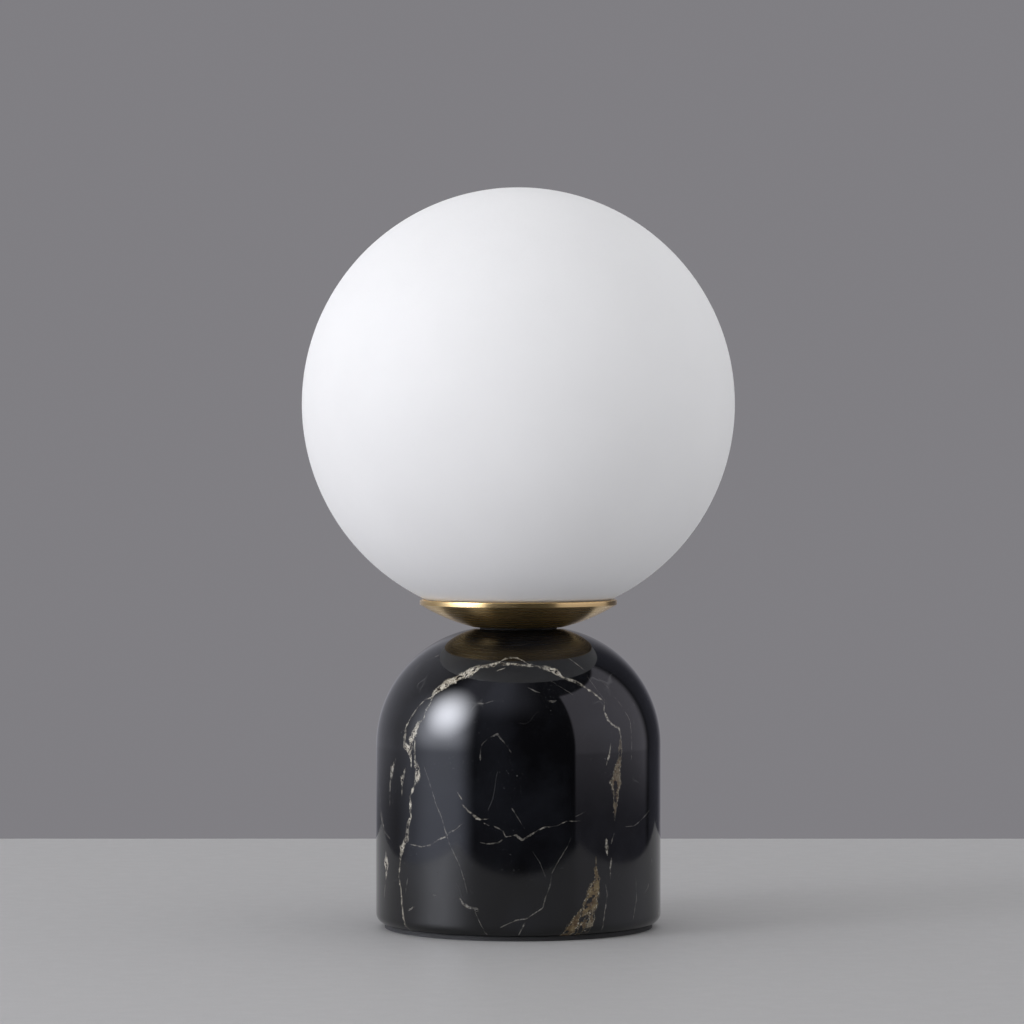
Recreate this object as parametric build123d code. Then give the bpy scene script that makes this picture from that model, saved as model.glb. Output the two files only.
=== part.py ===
from build123d import *
from math import acos, cos, degrees, radians, sin, sqrt
import os

# Table lamp: an opal glass globe in a shallow brass dish, on a domed stone base.
# All sizes are millimetres. The origin is the centre of the underside, +Z is up and
# the front faces -Y, so the cord's inlet is at the rear, on +Y. Everything that is
# turned or spun shares the Z axis, and a threaded tube on that axis clamps it together.

# ---- Clearances -------------------------------------------------------------------
SLIP_FIT = 0.05          # radial, between fixed pieces that are pushed together
THREAD_FIT = 0.02        # radial, a tube or screw in its own thread
TUBE_CLEARANCE = 0.15    # radial, a hole that the threaded tube passes through
STONE_CLEARANCE = 0.3    # radial, the bore in the stone round the tube
LIFT_CLEARANCE = 0.4     # radial, the globe to the pieces that it lifts off
PIN_CLEARANCE = 0.35     # a bulb pin to its contact
BULB_SEAT_GAP = 0.3      # under the bulb, above its holder

# ---- Globe ------------------------------------------------------------------------
GLOBE_DIAMETER = 150.0
GLASS_WALL = 3.0
MOUTH_RADIUS = 17.0      # of the hole in the bottom of the globe
MOUTH_LIP_WIDTH = 3.0    # the flat ground ring round that hole
MOUTH_ROUND = 0.5        # fire-polished edges

# ---- Stone base -------------------------------------------------------------------
BASE_DIAMETER = 98.8
SIDE_HEIGHT = 61.7       # the upright side, from the stone's underside
SHOULDER_RADIUS = 40.9   # the round that turns the side over into the dome
LANDING_RADIUS = 15.4    # the flat on top of the dome
FOOT_ROUND = 3.5
HOLLOW_RADIUS = 30.0     # wiring hollow in the underside
HOLLOW_DEPTH = 30.0

# ---- Pad and cover under the base -------------------------------------------------
PAD_THICKNESS = 1.5
PAD_INSET = 3.0
COVER_THICKNESS = 1.5
COVER_LEDGE = 8.0        # how far the cover reaches past the hollow
COVER_SCREW_COUNT = 3
COVER_SCREW_RADIUS = 1.5
COVER_SCREW_LENGTH = 7.5
COVER_HEAD_RADIUS = 2.7
COVER_HEAD_HEIGHT = 1.2
ANCHOR_RADIUS = 2.5
ANCHOR_LENGTH = 8.0

# ---- Cord inlet -------------------------------------------------------------------
INLET_HEIGHT = 14.0      # its axis above the table
INLET_BORE_RADIUS = 3.3
INLET_WALL = 1.2
INLET_FLANGE_WIDTH = 1.8
INLET_FLANGE_THICKNESS = 1.2
INLET_FLANGE_PROUD = 0.2
INLET_SHANK_LENGTH = 12.0

# ---- Threaded tube and what clamps it under the stone -----------------------------
TUBE_RADIUS = 5.0
TUBE_BORE_RADIUS = 4.0
TUBE_STAND_OUT = 2.0     # thread past the lower nut
TUBE_TOP_STAND_OUT = 1.0 # thread past the upper nut
NUT_ACROSS_FLATS = 14.0
BASE_NUT_HEIGHT = 5.0
BASE_WASHER_RADIUS = 13.0
BASE_WASHER_THICKNESS = 2.0
LOCK_WASHER_RADIUS = 8.2
LOCK_WASHER_THICKNESS = 1.2
LOCK_WASHER_TOOTH_COUNT = 10
LOCK_WASHER_TOOTH_DEPTH = 1.2
EARTH_TAG_RADIUS = 8.6
EARTH_TAG_THICKNESS = 0.8
EARTH_TAG_NECK_WIDTH = 4.6
EARTH_CRIMP_WALL = 0.6
EARTH_CRIMP_LENGTH = 6.0
BUSH_WALL = 0.9
BUSH_FLANGE_RADIUS = 5.6
BUSH_FLANGE_THICKNESS = 0.8
BUSH_SHANK_LENGTH = 5.0

# ---- Terminal block and internal leads --------------------------------------------
WAY_PITCH = 8.0
WAY_COUNT = 3
BLOCK_END_WALL = 5.0     # past the axis of an end way
BLOCK_DEPTH = 17.0
BLOCK_HEIGHT = 13.0
BLOCK_WALL_GAP = 6.5     # in front of the block, for the earth lead
BARREL_RADIUS = 2.6
BARREL_BORE_RADIUS = 1.4
BARREL_LENGTH = 14.0
BARREL_HEIGHT = 6.0      # its axis above the block's underside
TERMINAL_SCREW_RADIUS = 1.3
TERMINAL_SCREW_SPACING = 7.0
TERMINAL_SLOT_WIDTH = 0.5
TERMINAL_SLOT_DEPTH = 0.7
LEAD_RADIUS = 1.0
LEAD_GAP = 1.0           # between the two leads in the tube
LEAD_BEND_RADIUS = 3.0
LEAD_GRIP = 5.0          # length of lead inside a terminal
CONTACT_LEAD_GAP = 0.1

# ---- Brass dish -------------------------------------------------------------------
DISH_DIAMETER = 68.4
DISH_WALL = 1.6
DISH_BOWL_RADIUS = 65.0  # of the sphere that its underside follows
DISH_LIP_HEIGHT = 1.7    # the upright lip, outside
DISH_LIP_ROUND = 0.4
DISH_OVERHANG = 0.4      # of the dish's flat past the stone's landing
GASKET_THICKNESS = 0.6
GASKET_INSET = 2.0

# ---- Collar and ring that carry the globe -----------------------------------------
COLLAR_FLOOR = 2.4
COLLAR_FOOT_HEIGHT = 1.0 # lifts the collar's side clear of the bowl
COLLAR_FOOT_INSET = 1.6  # from the edge of the dish's flat floor
COLLAR_WALL = 1.4
COLLAR_RISE = 7.0        # above the edge of the globe's mouth
SEAL_SLEEVE = 0.35       # the part of the seal that goes up round the collar
SEAL_SLEEVE_HEIGHT = 3.6
GALLERY_WASHER_RADIUS = 10.0
GALLERY_WASHER_THICKNESS = 1.0
GALLERY_NUT_HEIGHT = 4.0

# ---- Lamp holder ------------------------------------------------------------------
BRACKET_SHEET = 1.2
BRACKET_WIDTH = 14.0
BRACKET_LEG_GAP = 0.5    # from a nut's corner to a leg
BRACKET_HEIGHT = 16.0
HOLDER_NUT_HEIGHT = 3.0
HOLDER_DEPTH = 13.0
HOLDER_FOOT_LENGTH = 29.0
HOLDER_FOOT_HEIGHT = 6.0
HOLDER_HEAD_LENGTH = 16.8
HOLDER_HEAD_HEIGHT = 16.0
HOLDER_SCREW_SPACING = 23.0
HOLDER_SCREW_RADIUS = 1.5
HOLDER_SCREW_LENGTH = 9.0
HOLDER_SCREW_HEAD_RADIUS = 2.5
HOLDER_SCREW_HEAD_HEIGHT = 1.8
CONTACT_SHEET = 0.45
CONTACT_WIDTH = 3.6
CONTACT_HEIGHT = 9.0
CONTACT_FLOOR = 4.0      # of stone ware under the slots' floor, above the foot
CONTACT_END_GAP = 0.4    # from a contact's side to the end of its slot

# ---- Capsule bulb -----------------------------------------------------------------
PIN_SPACING = 9.0        # between the two pins' centres
PIN_WIRE_RADIUS = 0.45
PIN_LOOP_WIDTH = 3.2
PIN_LENGTH = 10.5
BULB_RADIUS = 8.0
BULB_NOSE_RADIUS = 6.3   # where the cap meets the holder
BULB_NOSE_HEIGHT = 3.2
BULB_CAP_HEIGHT = 14.0
BULB_SOCKET_DEPTH = 3.0  # the envelope goes this far into the cap
BULB_SOCKET_WALL = 0.6
ENVELOPE_WALL = 0.8
ENVELOPE_HEIGHT = 42.0
CORE_RADIUS = 4.2
CORE_HEIGHT = 31.0

# ---- Places that follow from the sizes --------------------------------------------
globe_radius = GLOBE_DIAMETER / 2
base_radius = BASE_DIAMETER / 2
dish_radius = DISH_DIAMETER / 2

stone_z = PAD_THICKNESS
shoulder_z = stone_z + SIDE_HEIGHT
shoulder_centre_r = base_radius - SHOULDER_RADIUS
landing_z = shoulder_z + sqrt(SHOULDER_RADIUS**2 - (LANDING_RADIUS - shoulder_centre_r) ** 2)

cover_z = stone_z + COVER_THICKNESS
hollow_top_z = stone_z + HOLLOW_DEPTH
cover_radius = HOLLOW_RADIUS + COVER_LEDGE
cover_screw_circle = HOLLOW_RADIUS + COVER_LEDGE / 2

tag_top_z = hollow_top_z - BASE_WASHER_THICKNESS
tag_z = tag_top_z - EARTH_TAG_THICKNESS
lock_washer_z = tag_z - LOCK_WASHER_THICKNESS
base_nut_z = lock_washer_z - BASE_NUT_HEIGHT
tube_z = base_nut_z - TUBE_STAND_OUT
tube_hole_radius = TUBE_RADIUS + TUBE_CLEARANCE
nut_bore_radius = TUBE_RADIUS + THREAD_FIT
nut_corner_radius = NUT_ACROSS_FLATS / sqrt(3)
bush_shank_radius = TUBE_BORE_RADIUS - SLIP_FIT

dish_z = landing_z + GASKET_THICKNESS
dish_flat_radius = LANDING_RADIUS + DISH_OVERHANG
bowl_centre_z = dish_z + sqrt(DISH_BOWL_RADIUS**2 - dish_flat_radius**2)
bowl_inner_radius = DISH_BOWL_RADIUS - DISH_WALL
dish_floor_z = dish_z + DISH_WALL
dish_floor_radius = sqrt(bowl_inner_radius**2 - (bowl_centre_z - dish_floor_z) ** 2)
lip_z = bowl_centre_z - sqrt(DISH_BOWL_RADIUS**2 - dish_radius**2)
rim_z = lip_z + DISH_LIP_HEIGHT
rim_inner_radius = dish_radius - DISH_WALL
lip_inner_z = bowl_centre_z - sqrt(bowl_inner_radius**2 - rim_inner_radius**2)

# The glass just clears the inside of the rim, and its mouth is ground flat.
glass_radius_at_rim = rim_inner_radius - LIFT_CLEARANCE
globe_z = rim_z + sqrt(globe_radius**2 - glass_radius_at_rim**2)
mouth_lip_radius = MOUTH_RADIUS + MOUTH_LIP_WIDTH
mouth_z = globe_z - sqrt(globe_radius**2 - mouth_lip_radius**2)

collar_foot_radius = dish_floor_radius - COLLAR_FOOT_INSET
collar_foot_top_z = dish_floor_z + COLLAR_FOOT_HEIGHT
collar_floor_z = dish_floor_z + COLLAR_FLOOR
collar_top_z = mouth_z + COLLAR_RISE
sleeve_radius = MOUTH_RADIUS - LIFT_CLEARANCE
seal_inner_radius = sleeve_radius - SEAL_SLEEVE
seal_under_radius = bowl_inner_radius - SLIP_FIT
seal_inner_z = bowl_centre_z - sqrt(seal_under_radius**2 - seal_inner_radius**2)
seal_outer_z = bowl_centre_z - sqrt(seal_under_radius**2 - mouth_lip_radius**2)
seal_top_z = mouth_z + SEAL_SLEEVE_HEIGHT
collar_radius = seal_inner_radius - SLIP_FIT
gallery_nut_z = collar_floor_z + GALLERY_WASHER_THICKNESS
bracket_z = gallery_nut_z + GALLERY_NUT_HEIGHT
holder_nut_z = bracket_z + BRACKET_SHEET
holder_nut_top_z = holder_nut_z + HOLDER_NUT_HEIGHT
tube_top_z = holder_nut_top_z + TUBE_TOP_STAND_OUT
bracket_leg_x = nut_corner_radius + BRACKET_LEG_GAP

holder_z = bracket_z + BRACKET_HEIGHT
holder_foot_top_z = holder_z + HOLDER_FOOT_HEIGHT
holder_top_z = holder_foot_top_z + HOLDER_HEAD_HEIGHT
contact_x = PIN_SPACING / 2
contact_z = holder_foot_top_z + CONTACT_FLOOR
contact_half_depth = PIN_WIRE_RADIUS + PIN_CLEARANCE + CONTACT_SHEET
lead_hole_radius = LEAD_RADIUS + STONE_CLEARANCE

bulb_z = holder_top_z + BULB_SEAT_GAP
bulb_cap_top_z = bulb_z + BULB_CAP_HEIGHT
envelope_z = bulb_cap_top_z - BULB_SOCKET_DEPTH
envelope_radius = BULB_RADIUS - BULB_SOCKET_WALL - SLIP_FIT

block_z = cover_z
block_front_y = BLOCK_WALL_GAP - HOLLOW_RADIUS
block_rear_y = block_front_y + BLOCK_DEPTH
block_centre_y = (block_front_y + block_rear_y) / 2
barrel_z = block_z + BARREL_HEIGHT
barrel_socket_radius = BARREL_RADIUS + SLIP_FIT
way_xs = [(way - (WAY_COUNT - 1) / 2) * WAY_PITCH for way in range(WAY_COUNT)]
screw_ys = [block_centre_y + side * TERMINAL_SCREW_SPACING / 2 for side in (-1, 1)]
lead_x = LEAD_RADIUS + LEAD_GAP / 2

ON_AXIS = (Align.CENTER, Align.CENTER, Align.MIN)


# ---- Shapes used more than once ---------------------------------------------------
def disc(radius, z_low, z_high):
    """A round disc or bar on the Z axis."""
    return Pos(0, 0, z_low) * Cylinder(radius, z_high - z_low, align=ON_AXIS)


def ring(outer_radius, inner_radius, z_low, z_high):
    """A flat ring or tube on the Z axis."""
    return disc(outer_radius, z_low, z_high) - disc(inner_radius, z_low, z_high)


def block(x_size, y_size, z_low, z_high):
    """A square block centred on the Z axis."""
    return Pos(0, 0, z_low) * Box(x_size, y_size, z_high - z_low, align=ON_AXIS)


def obround(length, depth, z_low, z_high):
    """A block with half-round ends, its length along X."""
    return extrude(Pos(0, 0, z_low) * SlotOverall(length, depth), z_high - z_low)


def turned(*edges):
    """A solid turned on the Z axis from the edges of half its section, in X and Z."""
    section = make_face(Curve() + list(edges))
    return revolve(Plane.XZ * section, Axis.Z)


def hex_nut(z_low, height):
    """A nut for the threaded tube, its outer corners turned off at both faces."""
    flats = extrude(Pos(0, 0, z_low) * RegularPolygon(nut_corner_radius, 6), height)
    bevel = (nut_corner_radius - NUT_ACROSS_FLATS / 2) / 2
    envelope = chamfer(disc(nut_corner_radius, z_low, z_low + height).edges(), bevel)
    return (flats & envelope) - disc(nut_bore_radius, z_low, z_low + height)


def sweep_wire(radius, path):
    """A round wire along a path."""
    start = Plane(origin=path @ 0, z_dir=path % 0)
    return sweep(start * Circle(radius), path=path)


def round_the_circle(shape, count, first_angle):
    """Copies of a shape that is placed on the Z axis' +X side."""
    step = 360 / count
    return [Rot(0, 0, first_angle + step * index) * shape for index in range(count)]


# ---- Under the base ---------------------------------------------------------------
def base_pad():
    """Thin pad that the lamp stands on; it hides the cover."""
    return disc(base_radius - PAD_INSET, 0, PAD_THICKNESS)


def cover_screw():
    """One countersunk screw, flush with the cover."""
    shank = disc(COVER_SCREW_RADIUS, stone_z, stone_z + COVER_SCREW_LENGTH)
    cone = Cone(COVER_HEAD_RADIUS, COVER_SCREW_RADIUS, COVER_HEAD_HEIGHT, align=ON_AXIS)
    return Pos(cover_screw_circle, 0, 0) * (shank + Pos(0, 0, stone_z) * cone)


def cover_screw_hole():
    """The countersunk hole for one such screw."""
    radius = COVER_SCREW_RADIUS + SLIP_FIT
    cone = Cone(
        COVER_HEAD_RADIUS + SLIP_FIT, radius, COVER_HEAD_HEIGHT, align=ON_AXIS
    )
    hole = disc(radius, stone_z, cover_z) + Pos(0, 0, stone_z) * cone
    return Pos(cover_screw_circle, 0, 0) * hole


def cover_screws():
    return round_the_circle(cover_screw(), COVER_SCREW_COUNT, 30)


def cover_plate():
    """Steel disc that closes the hollow, flush with the stone's underside."""
    plate = disc(cover_radius - SLIP_FIT, stone_z, cover_z)
    return plate - round_the_circle(cover_screw_hole(), COVER_SCREW_COUNT, 30)


def cover_anchor():
    """One brass anchor, glued into the stone above the cover."""
    sleeve = ring(
        ANCHOR_RADIUS, COVER_SCREW_RADIUS + THREAD_FIT, cover_z, cover_z + ANCHOR_LENGTH
    )
    return Pos(cover_screw_circle, 0, 0) * sleeve


def cover_anchors():
    return round_the_circle(cover_anchor(), COVER_SCREW_COUNT, 30)


# ---- Stone base -------------------------------------------------------------------
inlet_hole_radius = INLET_BORE_RADIUS + INLET_WALL
inlet_flange_radius = inlet_hole_radius + INLET_FLANGE_WIDTH
inlet_face_y = base_radius + INLET_FLANGE_PROUD
inlet_seat_y = inlet_face_y - INLET_FLANGE_THICKNESS


def inlet_bar(radius, y_low, y_high):
    """A round bar along the inlet's axis, which runs to the rear."""
    bar = Cylinder(radius, y_high - y_low, align=ON_AXIS)
    return Pos(0, y_low, INLET_HEIGHT) * Rot(-90, 0, 0) * bar


def marble_base():
    """Stone cylinder whose side turns over into a dome with a flat landing."""
    landing_angle = degrees(acos((LANDING_RADIUS - shoulder_centre_r) / SHOULDER_RADIUS))
    foot_centre = (base_radius - FOOT_ROUND, stone_z + FOOT_ROUND)
    stone = turned(
        Line((0, stone_z), (foot_centre[0], stone_z)),
        CenterArc(foot_centre, FOOT_ROUND, -90, 90),
        Line((base_radius, foot_centre[1]), (base_radius, shoulder_z)),
        CenterArc((shoulder_centre_r, shoulder_z), SHOULDER_RADIUS, 0, landing_angle),
        Line((LANDING_RADIUS, landing_z), (0, landing_z)),
        Line((0, landing_z), (0, stone_z)),
    )
    stone -= disc(HOLLOW_RADIUS, stone_z, hollow_top_z)
    stone -= disc(cover_radius, stone_z, cover_z)
    stone -= disc(TUBE_RADIUS + STONE_CLEARANCE, stone_z, landing_z)
    anchor_hole = disc(ANCHOR_RADIUS + SLIP_FIT, cover_z, cover_z + ANCHOR_LENGTH)
    anchor_hole = Pos(cover_screw_circle, 0, 0) * anchor_hole
    stone -= round_the_circle(anchor_hole, COVER_SCREW_COUNT, 30)
    stone -= inlet_bar(inlet_hole_radius + SLIP_FIT, 0, base_radius)
    stone -= inlet_bar(inlet_flange_radius + SLIP_FIT, inlet_seat_y, inlet_face_y)
    return stone


def cord_inlet_bush():
    """Flanged bush in the stone's rear hole."""
    shank_end_y = inlet_seat_y - INLET_SHANK_LENGTH
    bush = inlet_bar(inlet_hole_radius, shank_end_y, inlet_seat_y)
    bush += inlet_bar(inlet_flange_radius, inlet_seat_y, inlet_face_y)
    rim = bush.edges().filter_by(GeomType.CIRCLE).sort_by(Axis.Y)[-1:]
    bush = fillet(rim, INLET_FLANGE_THICKNESS / 3)
    return bush - inlet_bar(INLET_BORE_RADIUS, shank_end_y, inlet_face_y)


# ---- Threaded tube and the pieces that clamp it under the stone -------------------
def threaded_tube():
    return ring(TUBE_RADIUS, TUBE_BORE_RADIUS, tube_z, tube_top_z)


def tube_bush():
    """The upper bush, its flange on the end of the tube."""
    shank = disc(bush_shank_radius, tube_top_z - BUSH_SHANK_LENGTH, tube_top_z)
    flange = disc(BUSH_FLANGE_RADIUS, tube_top_z, tube_top_z + BUSH_FLANGE_THICKNESS)
    bore_radius = TUBE_BORE_RADIUS - BUSH_WALL
    bore = disc(bore_radius, tube_top_z - BUSH_SHANK_LENGTH, tube_top_z + BUSH_FLANGE_THICKNESS)
    return shank + flange - bore


def tube_bushes():
    """The same bush in both ends of the tube."""
    upper = tube_bush()
    lower = Pos(0, 0, tube_z) * Rot(180, 0, 0) * Pos(0, 0, -tube_top_z) * upper
    return [upper, lower]


def base_washer():
    return ring(BASE_WASHER_RADIUS, tube_hole_radius, tag_top_z, hollow_top_z)


def lock_washer():
    """Washer with teeth cut into its outer edge."""
    washer = ring(LOCK_WASHER_RADIUS, tube_hole_radius, lock_washer_z, tag_z)
    tooth_gap = LOCK_WASHER_RADIUS * sin(radians(180 / LOCK_WASHER_TOOTH_COUNT))
    notch = Pos(LOCK_WASHER_RADIUS, 0, 0) * block(
        2 * LOCK_WASHER_TOOTH_DEPTH, tooth_gap, lock_washer_z, tag_z
    )
    return washer - round_the_circle(notch, LOCK_WASHER_TOOTH_COUNT, 0)


def base_nut():
    return hex_nut(base_nut_z, BASE_NUT_HEIGHT)


crimp_bore_radius = LEAD_RADIUS + SLIP_FIT
crimp_radius = crimp_bore_radius + EARTH_CRIMP_WALL
crimp_z = tag_z + EARTH_TAG_THICKNESS / 2
crimp_inner_y = -(BASE_WASHER_RADIUS + crimp_radius)
crimp_outer_y = crimp_inner_y - EARTH_CRIMP_LENGTH


def earth_tag():
    """Ring on the tube, with a neck to a crimp for the earth lead at the front."""
    neck = Box(
        EARTH_TAG_NECK_WIDTH,
        -crimp_inner_y,
        EARTH_TAG_THICKNESS,
        align=(Align.CENTER, Align.MAX, Align.MIN),
    )
    crimp = Pos(0, crimp_inner_y, crimp_z) * Rot(90, 0, 0) * Cylinder(
        crimp_radius, EARTH_CRIMP_LENGTH, align=ON_AXIS
    )
    crimp_bore = Pos(0, crimp_inner_y, crimp_z) * Rot(90, 0, 0) * Cylinder(
        crimp_bore_radius, EARTH_CRIMP_LENGTH, align=ON_AXIS
    )
    tag = disc(EARTH_TAG_RADIUS, tag_z, tag_top_z) + Pos(0, 0, tag_z) * neck
    return tag + crimp - crimp_bore - disc(tube_hole_radius, tag_z, tag_top_z)


# ---- Terminal block ---------------------------------------------------------------
def barrel_bar(radius, length, x):
    """A round bar along one way of the block, front to rear."""
    bar = Cylinder(radius, length)
    return Pos(x, block_centre_y, barrel_z) * Rot(90, 0, 0) * bar


def terminal_block():
    """Moulded block with a way for each lead and two screw wells over each."""
    width = (WAY_COUNT - 1) * WAY_PITCH + 2 * BLOCK_END_WALL
    body = Pos(0, block_centre_y, 0) * block(width, BLOCK_DEPTH, block_z, block_z + BLOCK_HEIGHT)
    well_radius = TERMINAL_SCREW_RADIUS + SLIP_FIT
    for x in way_xs:
        body -= barrel_bar(barrel_socket_radius, BLOCK_DEPTH, x)
        for y in screw_ys:
            body -= Pos(x, y, 0) * disc(well_radius, barrel_z, block_z + BLOCK_HEIGHT)
    return body


def terminal_barrels():
    """Brass tubes in the block, tapped from above for their screws."""
    tapped_radius = TERMINAL_SCREW_RADIUS + THREAD_FIT
    barrels = []
    for x in way_xs:
        barrel = barrel_bar(BARREL_RADIUS, BARREL_LENGTH, x)
        barrel -= barrel_bar(BARREL_BORE_RADIUS, BARREL_LENGTH, x)
        for y in screw_ys:
            barrel -= Pos(x, y, 0) * disc(tapped_radius, barrel_z, barrel_z + 2 * BARREL_RADIUS)
        barrels.append(barrel)
    return barrels


def terminal_screws():
    """Slotted screws that hold the leads in the barrels."""
    tip_z = barrel_z + LEAD_RADIUS + SLIP_FIT
    head_z = block_z + BLOCK_HEIGHT - TERMINAL_SLOT_DEPTH
    slot = block(
        3 * TERMINAL_SCREW_RADIUS, TERMINAL_SLOT_WIDTH, head_z - TERMINAL_SLOT_DEPTH, head_z
    )
    screw = disc(TERMINAL_SCREW_RADIUS, tip_z, head_z) - slot
    return [Pos(x, y, 0) * screw for x in way_xs for y in screw_ys]


# ---- Internal leads ---------------------------------------------------------------
def supply_lead(side):
    """Lead from an end way, up through the tube and out to its contact."""
    way_x = side * way_xs[-1]
    tube_x = side * lead_x
    top_run_z = tube_top_z + BUSH_FLANGE_THICKNESS + LEAD_RADIUS
    path = FilletPolyline(
        (way_x, block_rear_y - (BLOCK_DEPTH - BARREL_LENGTH) / 2 - LEAD_GRIP, barrel_z),
        (way_x, 0, barrel_z),
        (tube_x, 0, barrel_z),
        (tube_x, 0, top_run_z),
        (side * contact_x, 0, holder_z - LEAD_RADIUS),
        (side * contact_x, 0, contact_z - CONTACT_LEAD_GAP),
        radius=[LEAD_BEND_RADIUS, LEAD_BEND_RADIUS, LEAD_BEND_RADIUS, LEAD_BEND_RADIUS],
    )
    return sweep_wire(LEAD_RADIUS, path)


def live_lead():
    return supply_lead(-1)


def neutral_lead():
    return supply_lead(1)


def earth_lead():
    """Lead from the middle way, out at the front and back to the tag's crimp."""
    bend_y = block_front_y - LEAD_RADIUS - LEAD_BEND_RADIUS / 2
    path = FilletPolyline(
        (0, block_front_y + (BLOCK_DEPTH - BARREL_LENGTH) / 2 + LEAD_GRIP, barrel_z),
        (0, bend_y, barrel_z),
        (0, bend_y, crimp_z),
        (0, crimp_inner_y, crimp_z),
        radius=LEAD_BEND_RADIUS,
    )
    return sweep_wire(LEAD_RADIUS, path)


# ---- Brass dish -------------------------------------------------------------------
def bowl_arc(radius, r_from, r_to):
    """Arc of the bowl's section, from one distance off the axis to another."""
    first = -degrees(acos(r_from / radius))
    last = -degrees(acos(r_to / radius))
    return CenterArc((0, bowl_centre_z), radius, first, last - first)


def brass_dish():
    """Spun dish: flat floor, a bowl that is part of a sphere, and an upright lip."""
    dish = turned(
        Line((tube_hole_radius, dish_z), (dish_flat_radius, dish_z)),
        bowl_arc(DISH_BOWL_RADIUS, dish_flat_radius, dish_radius),
        Line((dish_radius, lip_z), (dish_radius, rim_z)),
        Line((dish_radius, rim_z), (rim_inner_radius, rim_z)),
        Line((rim_inner_radius, rim_z), (rim_inner_radius, lip_inner_z)),
        bowl_arc(bowl_inner_radius, rim_inner_radius, dish_floor_radius),
        Line((dish_floor_radius, dish_floor_z), (tube_hole_radius, dish_floor_z)),
        Line((tube_hole_radius, dish_floor_z), (tube_hole_radius, dish_z)),
    )
    return fillet(dish.edges().group_by(Axis.Z)[-1], DISH_LIP_ROUND)


def dish_gasket():
    return ring(LANDING_RADIUS - GASKET_INSET, tube_hole_radius, landing_z, dish_z)


# ---- Collar, ring and globe -------------------------------------------------------
def gallery_collar():
    """Turned cup that stands on the dish's floor and goes up into the globe's mouth."""
    collar = disc(collar_foot_radius, dish_floor_z, collar_foot_top_z)
    collar += disc(collar_radius, collar_foot_top_z, collar_top_z)
    collar -= disc(collar_radius - COLLAR_WALL, collar_floor_z, collar_top_z)
    collar = fillet(collar.edges().group_by(Axis.Z)[-1], COLLAR_WALL / 4)
    return collar - disc(tube_hole_radius, dish_floor_z, collar_floor_z)


def globe_seal():
    """Silicone ring that fills the bowl under the glass, with a sleeve up the collar."""
    return turned(
        bowl_arc(seal_under_radius, seal_inner_radius, mouth_lip_radius),
        Line((mouth_lip_radius, seal_outer_z), (mouth_lip_radius, mouth_z)),
        Line((mouth_lip_radius, mouth_z), (sleeve_radius, mouth_z)),
        Line((sleeve_radius, mouth_z), (sleeve_radius, seal_top_z)),
        Line((sleeve_radius, seal_top_z), (seal_inner_radius, seal_top_z)),
        Line((seal_inner_radius, seal_top_z), (seal_inner_radius, seal_inner_z)),
    )


def gallery_washer():
    return ring(GALLERY_WASHER_RADIUS, tube_hole_radius, collar_floor_z, gallery_nut_z)


def gallery_nut():
    return hex_nut(gallery_nut_z, GALLERY_NUT_HEIGHT)


def glass_globe():
    """Blown ball with its bottom ground flat and a round mouth through it."""
    glass_inner_radius = globe_radius - GLASS_WALL
    lip_angle = -degrees(acos(mouth_lip_radius / globe_radius))
    mouth_angle = -degrees(acos(MOUTH_RADIUS / glass_inner_radius))
    mouth_top_z = globe_z - sqrt(glass_inner_radius**2 - MOUTH_RADIUS**2)
    glass = turned(
        Line((MOUTH_RADIUS, mouth_z), (mouth_lip_radius, mouth_z)),
        CenterArc((0, globe_z), globe_radius, lip_angle, 90 - lip_angle),
        Line((0, globe_z + globe_radius), (0, globe_z + glass_inner_radius)),
        CenterArc((0, globe_z), glass_inner_radius, mouth_angle, 90 - mouth_angle),
        Line((MOUTH_RADIUS, mouth_top_z), (MOUTH_RADIUS, mouth_z)),
    )
    mouth_edges = glass.edges().filter_by(GeomType.CIRCLE).filter_by(
        lambda edge: MOUTH_RADIUS - MOUTH_ROUND < edge.radius < mouth_lip_radius + MOUTH_ROUND
    )
    return fillet(mouth_edges, MOUTH_ROUND)


# ---- Lamp holder ------------------------------------------------------------------
def holder_bracket():
    """Folded sheet: a base on the tube, two legs, and two tabs that turn out."""
    tab_z = holder_z - BRACKET_SHEET
    base = block(2 * (bracket_leg_x + BRACKET_SHEET), BRACKET_WIDTH, bracket_z, holder_nut_z)
    bracket = base - disc(tube_hole_radius, bracket_z, holder_nut_z)
    bracket += obround(HOLDER_FOOT_LENGTH, BRACKET_WIDTH, tab_z, holder_z)
    bracket -= block(2 * bracket_leg_x, BRACKET_WIDTH, tab_z, holder_z)
    tab_hole = disc(HOLDER_SCREW_RADIUS + SLIP_FIT, bracket_z, holder_z)
    for side in (-1, 1):
        leg_x = side * (bracket_leg_x + BRACKET_SHEET / 2)
        bracket += Pos(leg_x, 0, 0) * block(BRACKET_SHEET, BRACKET_WIDTH, bracket_z, holder_z)
        bracket -= Pos(side * HOLDER_SCREW_SPACING / 2, 0, 0) * tab_hole
    return bracket


def holder_nut():
    return hex_nut(holder_nut_z, HOLDER_NUT_HEIGHT)


def contact_slot():
    """The slot for one pin, over the hole for its lead."""
    slot_length = CONTACT_WIDTH + 2 * CONTACT_END_GAP
    slot_depth = 2 * (contact_half_depth + SLIP_FIT)
    return block(slot_length, slot_depth, contact_z, holder_top_z) + disc(
        lead_hole_radius, holder_z, contact_z
    )


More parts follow.
